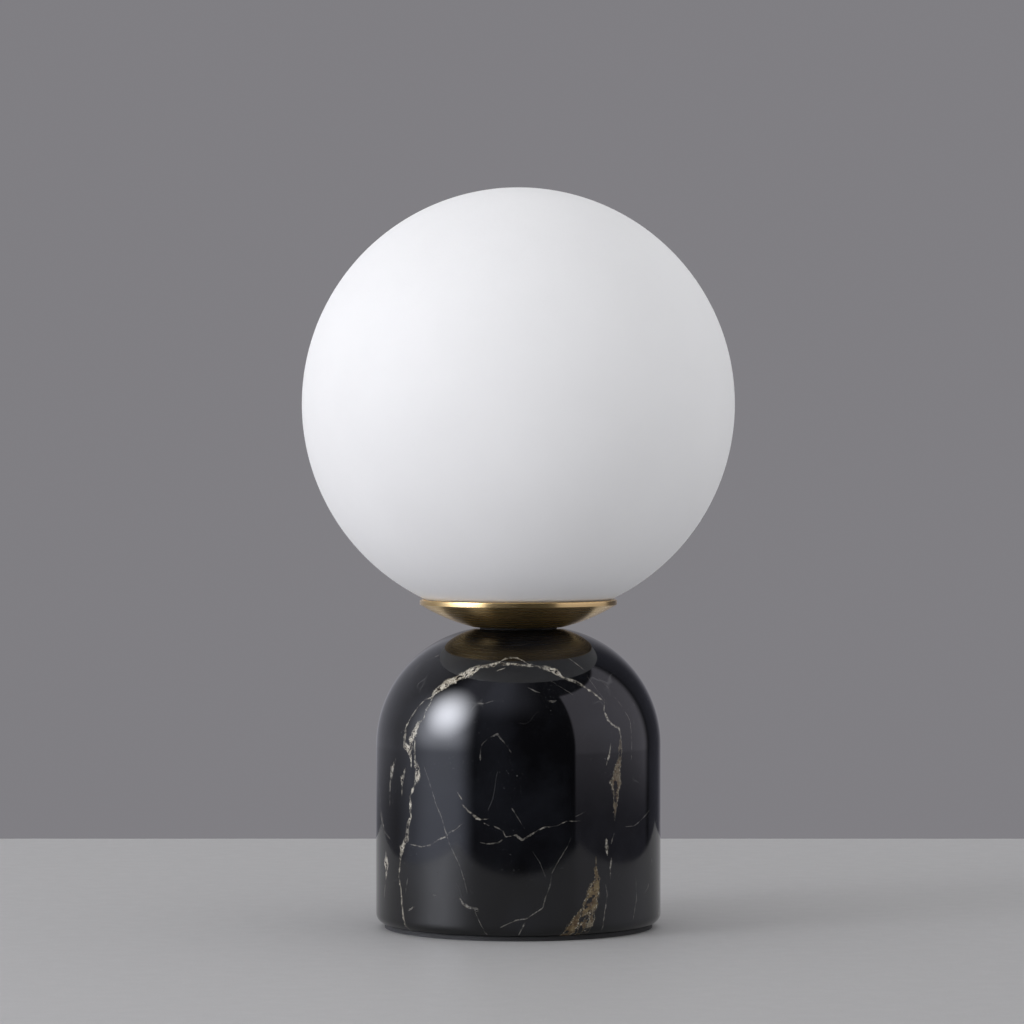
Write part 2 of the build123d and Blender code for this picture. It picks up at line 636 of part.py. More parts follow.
def holder_body():
    """Ceramic body: a long foot for its screws, and a head with two pin slots."""
    foot = obround(HOLDER_FOOT_LENGTH, HOLDER_DEPTH, holder_z, holder_foot_top_z)
    head = obround(HOLDER_HEAD_LENGTH, HOLDER_DEPTH, holder_foot_top_z, holder_top_z)
    body = foot + head
    screw_hole = disc(HOLDER_SCREW_RADIUS + TUBE_CLEARANCE, holder_z, holder_foot_top_z)
    for side in (-1, 1):
        body -= Pos(side * contact_x, 0, 0) * contact_slot()
        body -= Pos(side * HOLDER_SCREW_SPACING / 2, 0, 0) * screw_hole
    return body


def holder_contacts():
    """One springy channel in each slot, open at the top for the bulb's pin."""
    top_z = contact_z + CONTACT_HEIGHT
    channel = block(CONTACT_WIDTH, 2 * contact_half_depth, contact_z, top_z)
    inside_depth = 2 * (contact_half_depth - CONTACT_SHEET)
    channel -= block(CONTACT_WIDTH, inside_depth, contact_z + CONTACT_SHEET, top_z)
    return [Pos(side * contact_x, 0, 0) * channel for side in (-1, 1)]


def holder_screws():
    """Pan-head screws down through the holder's foot into the bracket's tabs."""
    head_top_z = holder_foot_top_z + HOLDER_SCREW_HEAD_HEIGHT
    shank_z = holder_foot_top_z - HOLDER_SCREW_LENGTH
    head = disc(HOLDER_SCREW_HEAD_RADIUS, holder_foot_top_z, head_top_z)
    head = fillet(head.edges().group_by(Axis.Z)[-1], HOLDER_SCREW_HEAD_HEIGHT / 3)
    slot = block(
        3 * HOLDER_SCREW_HEAD_RADIUS,
        HOLDER_SCREW_HEAD_HEIGHT / 3,
        head_top_z - HOLDER_SCREW_HEAD_HEIGHT / 2,
        head_top_z,
    )
    screw = disc(HOLDER_SCREW_RADIUS, shank_z, holder_foot_top_z) + head - slot
    return [Pos(side * HOLDER_SCREW_SPACING / 2, 0, 0) * screw for side in (-1, 1)]


# ---- Capsule bulb -----------------------------------------------------------------
def bulb_cap():
    """Moulded cap: a tapered nose, a straight side and a socket for the envelope."""
    nose_top_z = bulb_z + BULB_NOSE_HEIGHT
    socket_radius = BULB_RADIUS - BULB_SOCKET_WALL
    return turned(
        Polyline(
            (0, bulb_z),
            (BULB_NOSE_RADIUS, bulb_z),
            (BULB_RADIUS, nose_top_z),
            (BULB_RADIUS, bulb_cap_top_z),
            (socket_radius, bulb_cap_top_z),
            (socket_radius, envelope_z),
            (0, envelope_z),
            close=True,
        )
    )


def bulb_pins():
    """Two wires, each bent into a narrow loop under the cap."""
    leg_x = PIN_LOOP_WIDTH / 2 - PIN_WIRE_RADIUS
    bend_z = bulb_z - PIN_LENGTH + PIN_WIRE_RADIUS + leg_x
    path = Wire(
        [
            Edge.make_line((-leg_x, 0, bulb_z), (-leg_x, 0, bend_z)),
            Edge.make_three_point_arc((-leg_x, 0, bend_z), (0, 0, bend_z - leg_x), (leg_x, 0, bend_z)),
            Edge.make_line((leg_x, 0, bend_z), (leg_x, 0, bulb_z)),
        ]
    )
    loop = sweep_wire(PIN_WIRE_RADIUS, path)
    return [Pos(side * contact_x, 0, 0) * loop for side in (-1, 1)]


def bulb_envelope():
    """Thin capsule, open where it stands in the cap."""
    dome_z = envelope_z + ENVELOPE_HEIGHT - envelope_radius
    inner_radius = envelope_radius - ENVELOPE_WALL
    return turned(
        Line((inner_radius, envelope_z), (envelope_radius, envelope_z)),
        Line((envelope_radius, envelope_z), (envelope_radius, dome_z)),
        CenterArc((0, dome_z), envelope_radius, 0, 90),
        Line((0, dome_z + envelope_radius), (0, dome_z + inner_radius)),
        CenterArc((0, dome_z), inner_radius, 0, 90),
        Line((inner_radius, dome_z), (inner_radius, envelope_z)),
    )


def bulb_core():
    """Six-sided column of the light source, standing on the cap."""
    return extrude(Pos(0, 0, envelope_z) * RegularPolygon(CORE_RADIUS, 6), CORE_HEIGHT)


# ---- Every sub-part, from the table up --------------------------------------------
SUB_PARTS = [
    base_pad,
    cover_plate,
    cover_screws,
    cover_anchors,
    marble_base,
    cord_inlet_bush,
    terminal_block,
    terminal_barrels,
    terminal_screws,
    live_lead,
    neutral_lead,
    earth_lead,
    earth_tag,
    base_washer,
    lock_washer,
    base_nut,
    threaded_tube,
    tube_bushes,
    dish_gasket,
    brass_dish,
    gallery_collar,
    globe_seal,
    gallery_washer,
    gallery_nut,
    glass_globe,
    holder_bracket,
    holder_nut,
    holder_body,
    holder_contacts,
    holder_screws,
    bulb_cap,
    bulb_pins,
    bulb_envelope,
    bulb_core,
]


def main():
    os.makedirs("parts", exist_ok=True)
    for make in SUB_PARTS:
        made = make()
        shape = Compound(children=made) if isinstance(made, list) else made
        export_step(shape, f"parts/{make.__name__}.step")
    print(f"height {globe_z + globe_radius:.1f}, rim {rim_z:.1f}, mouth {mouth_z:.1f}")


main()
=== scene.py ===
"""Looks of the glass globe table lamp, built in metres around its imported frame.

The lamp is an opal glass globe in a spun brass dish, on a domed base of black stone.
The globe, the dish and the stone are turned here as fine meshes. The other pieces keep
their own shapes and take a finish. Heights are above the table, and the front is -Y.
"""

import logging
import math
from dataclasses import dataclass, field
from enum import Enum
from typing import Callable, Optional, Sequence, Union

import bpy
import numpy as np
from mathutils import Matrix, Vector


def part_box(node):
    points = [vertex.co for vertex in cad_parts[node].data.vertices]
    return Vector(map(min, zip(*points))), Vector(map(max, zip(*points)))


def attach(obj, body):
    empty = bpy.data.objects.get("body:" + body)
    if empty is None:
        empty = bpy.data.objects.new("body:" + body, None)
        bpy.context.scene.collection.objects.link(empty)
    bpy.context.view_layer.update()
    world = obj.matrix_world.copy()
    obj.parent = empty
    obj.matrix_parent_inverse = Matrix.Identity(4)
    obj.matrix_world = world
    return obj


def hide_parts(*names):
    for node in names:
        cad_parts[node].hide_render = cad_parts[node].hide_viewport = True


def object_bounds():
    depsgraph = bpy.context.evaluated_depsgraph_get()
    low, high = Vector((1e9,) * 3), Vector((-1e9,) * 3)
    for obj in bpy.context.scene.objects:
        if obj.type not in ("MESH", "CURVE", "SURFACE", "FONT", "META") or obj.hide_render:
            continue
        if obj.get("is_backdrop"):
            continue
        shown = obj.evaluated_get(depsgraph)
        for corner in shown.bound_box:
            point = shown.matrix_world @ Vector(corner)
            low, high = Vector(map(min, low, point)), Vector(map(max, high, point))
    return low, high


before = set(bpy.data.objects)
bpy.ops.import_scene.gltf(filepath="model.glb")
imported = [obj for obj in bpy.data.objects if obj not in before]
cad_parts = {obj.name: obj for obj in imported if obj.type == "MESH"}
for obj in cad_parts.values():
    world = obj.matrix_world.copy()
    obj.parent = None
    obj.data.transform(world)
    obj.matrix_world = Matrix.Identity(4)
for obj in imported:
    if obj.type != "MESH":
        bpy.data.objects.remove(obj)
CAD_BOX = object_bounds()

LOG = logging.getLogger("lamp")
MM = 0.001
MM_PER_METRE = 1000.0
FULL_TURN = 2 * math.pi
WELD_GAP = 0.001 * MM
SHARP_ANGLE = math.radians(30)
TINY = 1e-6

Colour = tuple[float, float, float]
Value = Union[float, int, bool, str, Sequence[float], bpy.types.NodeSocket]


def opaque(colour: Colour) -> tuple[float, float, float, float]:
    """The colour with full opacity."""
    return (*colour, 1.0)


# ---- Node trees ---------------------------------------------------------------------
class Board:
    """A node tree being laid out, with short ways to add nodes and join them."""

    def __init__(self, tree: bpy.types.NodeTree) -> None:
        """Starts on a tree.

        Args:
            tree: the shader or geometry tree that the nodes go into.
        """
        self.tree = tree

    def feed(self, socket: bpy.types.NodeSocket, value: Value) -> None:
        """Sets an input, or links it where the value is another node's output.

        Args:
            socket: the input.
            value: a plain value or an output socket.
        """
        if isinstance(value, bpy.types.NodeSocket):
            self.tree.links.new(value, socket)
        else:
            socket.default_value = value

    def add(
        self, kind: str, feeds: Optional[dict[Union[str, int], Value]] = None, **settings: object
    ) -> bpy.types.Node:
        """Adds a node.

        Args:
            kind: the node's type name.
            feeds: what goes into its inputs, by name or place.
            settings: the node's own options.

        Returns:
            The node.
        """
        node = self.tree.nodes.new(kind)
        for name, value in settings.items():
            setattr(node, name, value)
        for name, value in (feeds or {}).items():
            self.feed(node.inputs[name], value)
        return node

    def math(self, operation: str, *values: Value, clamp: bool = False) -> bpy.types.NodeSocket:
        """Adds a sum on one to three values.

        Args:
            operation: the sum's name, such as ADD.
            values: what it works on.
            clamp: whether the result is held between 0 and 1.

        Returns:
            The result.
        """
        node = self.add("ShaderNodeMath", operation=operation, use_clamp=clamp)
        for socket, value in zip(node.inputs, values):
            self.feed(socket, value)
        return node.outputs[0]

    def span(
        self,
        value: Value,
        low: Value,
        high: Value,
        to_low: Value = 0.0,
        to_high: Value = 1.0,
        smooth: bool = False,
    ) -> bpy.types.NodeSocket:
        """Maps one range of a value to another, and holds it there.

        Args:
            value: the value.
            low: where the range starts.
            high: where it ends.
            to_low: what its start becomes.
            to_high: what its end becomes.
            smooth: whether it eases in and out.

        Returns:
            The mapped value.
        """
        node = self.add(
            "ShaderNodeMapRange",
            {0: value, 1: low, 2: high, 3: to_low, 4: to_high},
            interpolation_type="SMOOTHSTEP" if smooth else "LINEAR",
        )
        return node.outputs["Result"]

    def blend(
        self, share: Value, first: Value, second: Value, mode: str = "MIX"
    ) -> bpy.types.NodeSocket:
        """Mixes two colours, or adds the second to the first.

        Args:
            share: how much of the second one shows.
            first: the colour at 0.
            second: the colour at 1.
            mode: MIX or ADD.

        Returns:
            The resulting colour.
        """
        node = self.add("ShaderNodeMix", data_type="RGBA", blend_type=mode)
        for place, value in ((0, share), (6, first), (7, second)):
            plain = isinstance(value, tuple) and len(value) == 3
            self.feed(node.inputs[place], opaque(value) if plain else value)
        return node.outputs[2]

    def place(self) -> bpy.types.NodeSocket:
        """The place on the lamp.

        Returns:
            Its coordinates in millimetres.
        """
        coordinates = self.add("ShaderNodeTexCoord").outputs["Object"]
        scaled = self.add(
            "ShaderNodeVectorMath", {0: coordinates, "Scale": MM_PER_METRE}, operation="SCALE"
        )
        return scaled.outputs[0]

    def noise(
        self, place: Value, size: float, detail: float = 2.0, rough: float = 0.5, shift: float = 0.0
    ) -> bpy.types.NodeSocket:
        """Adds smooth random variation.

        Args:
            place: the place in millimetres.
            size: how large its features are, in millimetres.
            detail: how many finer layers it has.
            rough: how strong the finer layers are.
            shift: moves it, so that two noises of one size differ.

        Returns:
            A value about 0.5.
        """
        vector = place
        if shift:
            moved = self.add("ShaderNodeVectorMath", {0: place, 1: (shift, -shift, shift)})
            vector = moved.outputs[0]
        feeds = {"Vector": vector, "Scale": 1 / size, "Detail": detail, "Roughness": rough}
        return self.add("ShaderNodeTexNoise", feeds).outputs["Fac"]

    def attribute(self, name: str) -> bpy.types.Node:
        """The node that reads one of the mesh's attributes."""
        return self.add("ShaderNodeAttribute", attribute_name=name)

    def effect(self, tree: bpy.types.NodeTree, feeds: dict[str, Value]) -> bpy.types.Node:
        """Places a shared effect.

        Args:
            tree: the effect's node group.
            feeds: what goes into its inputs.

        Returns:
            The group's node.
        """
        node = self.add("ShaderNodeGroup", node_tree=tree)
        for name, value in feeds.items():
            self.feed(node.inputs[name], value)
        return node

    def bump(self, height: Value, depth: float) -> bpy.types.NodeSocket:
        """Turns a height from 0 to 1 into a surface normal.

        Args:
            height: the height.
            depth: what a height of 1 stands for, in millimetres.

        Returns:
            The normal.
        """
        feeds = {"Height": height, "Distance": depth * MM, "Strength": 1.0}
        return self.add("ShaderNodeBump", feeds).outputs[0]


SOCKETS = {float: "NodeSocketFloat", int: "NodeSocketInt", tuple: "NodeSocketVector"}


def open_group(
    kind: str, name: str, inputs: dict[str, object], outputs: dict[str, object]
) -> tuple[Board, dict[str, bpy.types.NodeSocket], bpy.types.Node]:
    """Starts a node group with named inputs and outputs.

    Args:
        kind: the tree's type, shader or geometry.
        name: the group's name.
        inputs: what it takes, with each one's usual value or its socket's type.
        outputs: what it gives, in the same way.

    Returns:
        Its board, its inputs by name and its output node.
    """
    tree = bpy.data.node_groups.new(name, kind)
    for way, sockets in (("INPUT", inputs), ("OUTPUT", outputs)):
        for label, usual in sockets.items():
            typed = usual if isinstance(usual, str) else SOCKETS[type(usual)]
            socket = tree.interface.new_socket(label, in_out=way, socket_type=typed)
            if way == "INPUT" and not isinstance(usual, str):
                socket.default_value = usual
    board = Board(tree)
    entry = board.add("NodeGroupInput")
    leave = board.add("NodeGroupOutput")
    return board, {label: entry.outputs[label] for label in inputs}, leave


_EFFECTS: dict[str, bpy.types.NodeTree] = {}


def shared(build: Callable[[], bpy.types.NodeTree]) -> bpy.types.NodeTree:
    """The group that a function builds, made on its first use only.

    Args:
        build: the function.

    Returns:
        The group.
    """
    if build.__name__ not in _EFFECTS:
        _EFFECTS[build.__name__] = build()
    return _EFFECTS[build.__name__]


# ---- Effects that several finishes share ----------------------------------------------
def grain_effect() -> bpy.types.NodeTree:
    """Fine and coarse unevenness of a surface, as a value about 0 and a height.

    Returns:
        The effect's group.
    """
    board, given, leave = open_group(
        "ShaderNodeTree",
        "surface_grain",
        {"Place": (0.0, 0.0, 0.0), "Coarse": 0.05, "Fine": 1.0},
        {"Tone": 0.0, "Height": 0.0},
    )
    coarse = board.add(
        "ShaderNodeTexNoise", {"Vector": given["Place"], "Scale": given["Coarse"], "Detail": 3.0}
    ).outputs["Fac"]
    fine = board.add(
        "ShaderNodeTexNoise", {"Vector": given["Place"], "Scale": given["Fine"], "Detail": 2.0}
    ).outputs["Fac"]
    both = board.math("ADD", coarse, fine)
    board.feed(leave.inputs["Tone"], board.math("SUBTRACT", both, 1.0))
    board.feed(leave.inputs["Height"], fine)
    return board.tree


def turning_effect() -> bpy.types.NodeTree:
    """Fine lines that run round a turned or spun piece, across a distance along it.

    Returns:
        The effect's group.
    """
    board, given, leave = open_group(
        "ShaderNodeTree",
        "turning_lines",
        {"Place": (0.0, 0.0, 0.0), "Along": 0.0, "Pitch": 0.12},
        {"Line": 0.0, "Band": 0.0},
    )
    apart = board.add("ShaderNodeSeparateXYZ", {0: given["Place"]})
    drift = board.noise(given["Place"], 14.0, detail=1.0)
    along = board.math("MULTIPLY_ADD", drift, 0.35, given["Along"])
    count = board.math("DIVIDE", along, given["Pitch"])
    turn = board.math("ARCTAN2", apart.outputs[1], apart.outputs[0])
    spot = board.add("ShaderNodeCombineXYZ", {0: count, 1: board.math("MULTIPLY", turn, 1.3)})
    line = board.add("ShaderNodeTexNoise", {"Vector": spot.outputs[0], "Scale": 1.0, "Detail": 3.0})
    wide = board.add(
        "ShaderNodeVectorMath", {0: spot.outputs[0], 1: (0.06, 0.5, 1.0)}, operation="MULTIPLY"
    )
    band = board.add("ShaderNodeTexNoise", {"Vector": wide.outputs[0], "Scale": 1.0, "Detail": 2.0})
    board.feed(leave.inputs["Line"], line.outputs["Fac"])
    board.feed(leave.inputs["Band"], band.outputs["Fac"])
    return board.tree


def dust_effect() -> bpy.types.NodeTree:
    """A thin settled dust on what faces up, as a mask, and fine random scratches.

    Returns:
        The effect's group.
    """
    board, given, leave = open_group(
        "ShaderNodeTree",
        "dust_and_scratches",
        {"Place": (0.0, 0.0, 0.0), "Dust": 0.3, "Scratches": 0.5},
        {"Dust": 0.0, "Scratch": 0.0},
    )
    facing = board.add("ShaderNodeNewGeometry").outputs["Normal"]
    upward = board.add("ShaderNodeSeparateXYZ", {0: facing}).outputs[2]
    lying = board.span(upward, 0.1, 0.95)
    speck = board.span(board.noise(given["Place"], 0.7, detail=4.0, rough=0.7), 0.48, 0.72)
    dust = board.math("MULTIPLY", board.math("MULTIPLY", lying, speck), given["Dust"])
    board.feed(leave.inputs["Dust"], dust)
    marks: Optional[bpy.types.NodeSocket] = None
    for tilt, stretch in (
        (0.5, (0.05, 1.6, 1.6)),
        (2.1, (1.6, 0.05, 1.6)),
        (1.2, (1.6, 1.6, 0.05)),
    ):
        turned = board.add(
            "ShaderNodeMapping",
            {"Vector": given["Place"], "Rotation": (tilt, tilt, 0.3), "Scale": stretch},
        )
        thread = board.math("SUBTRACT", board.noise(turned.outputs[0], 0.8, detail=1.0), 0.5)
        mark = board.span(board.math("ABSOLUTE", thread), 0.0, 0.012, 1, 0)
        marks = mark if marks is None else board.math("MAXIMUM", marks, mark)
    patchy = board.span(board.noise(given["Place"], 9.0), 0.5, 0.65)
    kept = board.math("MULTIPLY", board.math("MULTIPLY", marks, patchy), given["Scratches"])
    board.feed(leave.inputs["Scratch"], kept)
    return board.tree


def wear_effect() -> bpy.types.NodeTree:
    """Bright, broken wear along the edges that a piece's section marks as worn.

    Returns:
        The effect's group.
    """
    board, given, leave = open_group(
        "ShaderNodeTree",
        "edge_wear",
        {"Place": (0.0, 0.0, 0.0), "Edge": 0.0, "Amount": 0.6},
        {"Mask": 0.0},
    )
    broken = board.span(board.noise(given["Place"], 1.8, detail=4.0, rough=0.65), 0.38, 0.6)
    mask = board.math("MULTIPLY", board.math("MULTIPLY", given["Edge"], broken), given["Amount"])
    board.feed(leave.inputs["Mask"], mask)
    return board.tree


def vein_effect() -> bpy.types.NodeTree:
    """One layer of mineral veins, from the distance to the nearest one.

    The layer's field holds the distance to the vein's middle, its half width, both in
    millimetres, and its tone. Its edges are ragged, and it wanders, thins and breaks.

    Returns:
        The effect's group.
    """
    board, given, leave = open_group(
        "ShaderNodeTree",
        "vein_layer",
        {"Place": (0.0, 0.0, 0.0), "Field": (0.0, 0.0, 0.0), "Shift": 0.0},
        {"Mask": 0.0, "Core": 0.0, "Tone": 0.0},
    )
    apart = board.add("ShaderNodeSeparateXYZ", {0: given["Field"]})
    offset, half, tone = apart.outputs[0], apart.outputs[1], apart.outputs[2]
    moved = board.add("ShaderNodeVectorMath", {0: given["Place"], 1: given["Shift"]}).outputs[0]
    loose = board.span(half, 0.1, 0.9, 0.12, 1.0)
    slow = board.math("SUBTRACT", board.noise(moved, 2.6, detail=2.0), 0.5)
    quick = board.math("SUBTRACT", board.noise(moved, 0.8, detail=3.0, rough=0.65), 0.5)
    wander = board.math("ADD", board.math("MULTIPLY", slow, 1.3), board.math("MULTIPLY", quick, 1.1))
    distance = board.math("ABSOLUTE", board.math("MULTIPLY_ADD", wander, loose, offset))
    least = board.span(half, 0.6, 1.8, 0.40, 0.80)
    swell = board.span(board.noise(moved, 3.2, detail=3.0), 0.34, 0.66, least, 1.25)
    width = board.math("MAXIMUM", board.math("MULTIPLY", half, swell), 0.02)
    depth = board.math("SUBTRACT", 1.0, board.math("DIVIDE", distance, width))
    grit = board.math("SUBTRACT", board.noise(moved, 0.5, detail=3.0, rough=0.7), 0.5)
    ragged = board.math("MULTIPLY_ADD", grit, board.span(half, 0.6, 1.8, 1.6, 0.9), depth)
    mask = board.span(ragged, -0.1, 0.4, smooth=True)
    there = board.span(half, 0.0, 0.06)
    body = board.span(half, 0.12, 0.55, 0.30, 1.0)
    gaps = board.span(board.noise(moved, 1.6, detail=3.0, rough=0.6), 0.40, 0.56, 0.10, 1.0)
    faded = board.span(board.noise(moved, 7.0, detail=1.0), 0.36, 0.60, 0.45, 1.0)
    gaps = board.math("MAXIMUM", board.math("MULTIPLY", gaps, faded), board.span(half, 0.7, 1.3))
    kept = board.math("MULTIPLY", board.math("MULTIPLY", mask, body), gaps)
    core = board.math("MULTIPLY", board.span(depth, 0.12, 0.45), board.span(width, 0.3, 0.6))
    board.feed(leave.inputs["Mask"], board.math("MULTIPLY", kept, there))
    board.feed(leave.inputs["Core"], core)
    board.feed(leave.inputs["Tone"], tone)
    return board.tree


# ---- Finishes -----------------------------------------------------------------------
class Layer(Enum):
    """The attribute that a vein is drawn in: veins that cross or run close lie apart."""

    MAIN = "veins_main"
    BRANCH = "veins_branch"
    CRACK = "veins_crack"


@dataclass(frozen=True)
class Finish:
    """A surface finish, made into a material on its first use."""

    name: str
    colour: Colour
    roughness: float
    metallic: float = 0.0
    grain: float = 0.10
    relief: float = 0.012
    grain_size: float = 0.9
    dust: float = 0.15
    dust_colour: Colour = (0.45, 0.43, 0.40)
    dust_roughness: float = 0.4
    scratches: float = 0.5
    scratch_roughness: float = 0.15
    sockets: tuple[tuple[str, Value], ...] = ()

    def material(self) -> bpy.types.Material:
        """The finish as a material.

        Returns:
            The material, made once and then reused.
        """
        made = bpy.data.materials.get(self.name)
        if made is None:
            made = bpy.data.materials.new(self.name)
            made.use_nodes = True
            made.node_tree.nodes.clear()
            board = Board(made.node_tree)
            shader = board.add("ShaderNodeBsdfPrincipled")
            board.feed(shader.inputs["Metallic"], self.metallic)
            for socket, value in self.sockets:
                board.feed(shader.inputs[socket], value)
            self.dress(board, shader)
            board.add("ShaderNodeOutputMaterial", {"Surface": shader.outputs[0]})
        return made

    def feed_soiled(
        self, board: Board, shader: bpy.types.Node, place: Value, base: Value, rough: Value
    ) -> None:
        """Lays dust and scratches over the clean finish and feeds its colour and roughness.

        Args:
            board: the material's board.
            shader: its shader node.
            place: the place in millimetres.
            base: the clean colour.
            rough: the clean roughness.
        """
        feeds = {"Place": place, "Dust": self.dust, "Scratches": self.scratches}
        soil = board.effect(shared(dust_effect), feeds)
        dust, scratch = soil.outputs["Dust"], soil.outputs["Scratch"]
        board.feed(shader.inputs["Base Color"], board.blend(dust, base, self.dust_colour))
        rough = board.math("MULTIPLY_ADD", scratch, self.scratch_roughness, rough)
        rough = board.math("MULTIPLY_ADD", dust, self.dust_roughness, rough, clamp=True)
        board.feed(shader.inputs["Roughness"], rough)

    def dress(self, board: Board, shader: bpy.types.Node) -> None:
        """Feeds colour, roughness and relief that vary with the grain and the dust.

        Args:
            board: the material's board.
            shader: its shader node.
        """
        place = board.place()
        grain = board.effect(
            shared(grain_effect),
            {"Place": place, "Coarse": 0.12 / self.grain_size, "Fine": 1 / self.grain_size},
        )
        tone = grain.outputs["Tone"]
        dark = tuple(part * (1 - self.grain) for part in self.colour)
        light = tuple(min(1.0, part * (1 + self.grain)) for part in self.colour)
        base = board.blend(board.span(tone, -0.4, 0.4), dark, light)
        rough = board.math("MULTIPLY_ADD", tone, self.roughness * 0.5, self.roughness)
        self.feed_soiled(board, shader, place, base, rough)
        board.feed(shader.inputs["Normal"], board.bump(grain.outputs["Height"], self.relief))


@dataclass(frozen=True)
class OpalGlass(Finish):
    """Acid-etched opal glass: matt, faintly cloudy, with a soft glow through its wall."""

    dust: float = 0.10
    dust_colour: Colour = (0.62, 0.61, 0.60)
    dust_roughness: float = 0.0
    scratches: float = 0.35
    scratch_roughness: float = -0.08
    cloudiness: float = 0.025
    etch_range: float = 0.05

    def dress(self, board: Board, shader: bpy.types.Node) -> None:
        """Feeds a cloudy white and an uneven etch, rubbed smoother by scratches.

        Args:
            board: the material's board.
            shader: its shader node.
        """
        place = board.place()
        cloud = board.noise(place, 38.0, detail=3.0)
        etch = board.noise(place, 0.9, detail=3.0, rough=0.6)
        dim = tuple(part * (1 - self.cloudiness) for part in self.colour)
        base = board.blend(board.span(cloud, 0.35, 0.65), dim, self.colour)
        smoothest = self.roughness - self.etch_range
        rough = board.span(etch, 0.3, 0.7, smoothest, self.roughness + self.etch_range)
        self.feed_soiled(board, shader, place, base, rough)
        board.feed(shader.inputs["Normal"], board.bump(etch, self.relief))


@dataclass(frozen=True)
class SpunBrass(Finish):
    """Brass with fine lines round it from spinning or turning, worn bright at its edges."""

    dust_colour: Colour = (0.42, 0.40, 0.36)
    scratch_roughness: float = 0.0
    pitch: float = 0.06
    tarnish: Colour = (0.40, 0.27, 0.10)
    edge_wear: float = 0.9

    def dress(self, board: Board, shader: bpy.types.Node) -> None:
        """Feeds the lines, the tarnish between them and the bright edges.

        Args:
            board: the material's board.
            shader: its shader node.
        """
        place = board.place()
        along = board.attribute("along").outputs["Fac"]
        feeds = {"Place": place, "Along": along, "Pitch": self.pitch}
        marks = board.effect(shared(turning_effect), feeds)
        edge = board.attribute("worn").outputs["Fac"]
        feeds = {"Place": place, "Edge": edge, "Amount": self.edge_wear}
        wear = board.effect(shared(wear_effect), feeds).outputs["Mask"]
        line, band = marks.outputs["Line"], marks.outputs["Band"]
        patina = board.span(board.noise(place, 11.0, detail=4.0, rough=0.6), 0.42, 0.75, 0.0, 0.16)
        base = board.blend(patina, self.colour, self.tarnish)
        base = board.blend(board.span(line, 0.3, 0.7, 0.0, 0.07), base, self.tarnish)
        pale = tuple(min(1.0, part * 1.15) for part in self.colour)
        base = board.blend(wear, base, pale)
        rough = board.span(band, 0.3, 0.7, self.roughness - 0.02, self.roughness + 0.03)
        rough = board.math("MULTIPLY_ADD", line, 0.04, rough)
        rough = board.math("MULTIPLY_ADD", wear, -0.08, rough)
        self.feed_soiled(board, shader, place, base, rough)
        board.feed(shader.inputs["Normal"], board.bump(line, self.relief))
        tangent = board.add("ShaderNodeTangent", direction_type="RADIAL", axis="Z")
        board.feed(shader.inputs["Tangent"], tangent.outputs[0])


@dataclass(frozen=True)
class VeinGrit:
    """Fine variation inside the veins, which all their layers share."""

    mottle: bpy.types.NodeSocket
    speckle: bpy.types.NodeSocket
    stain: bpy.types.NodeSocket
    hole: bpy.types.NodeSocket
    cave: bpy.types.NodeSocket


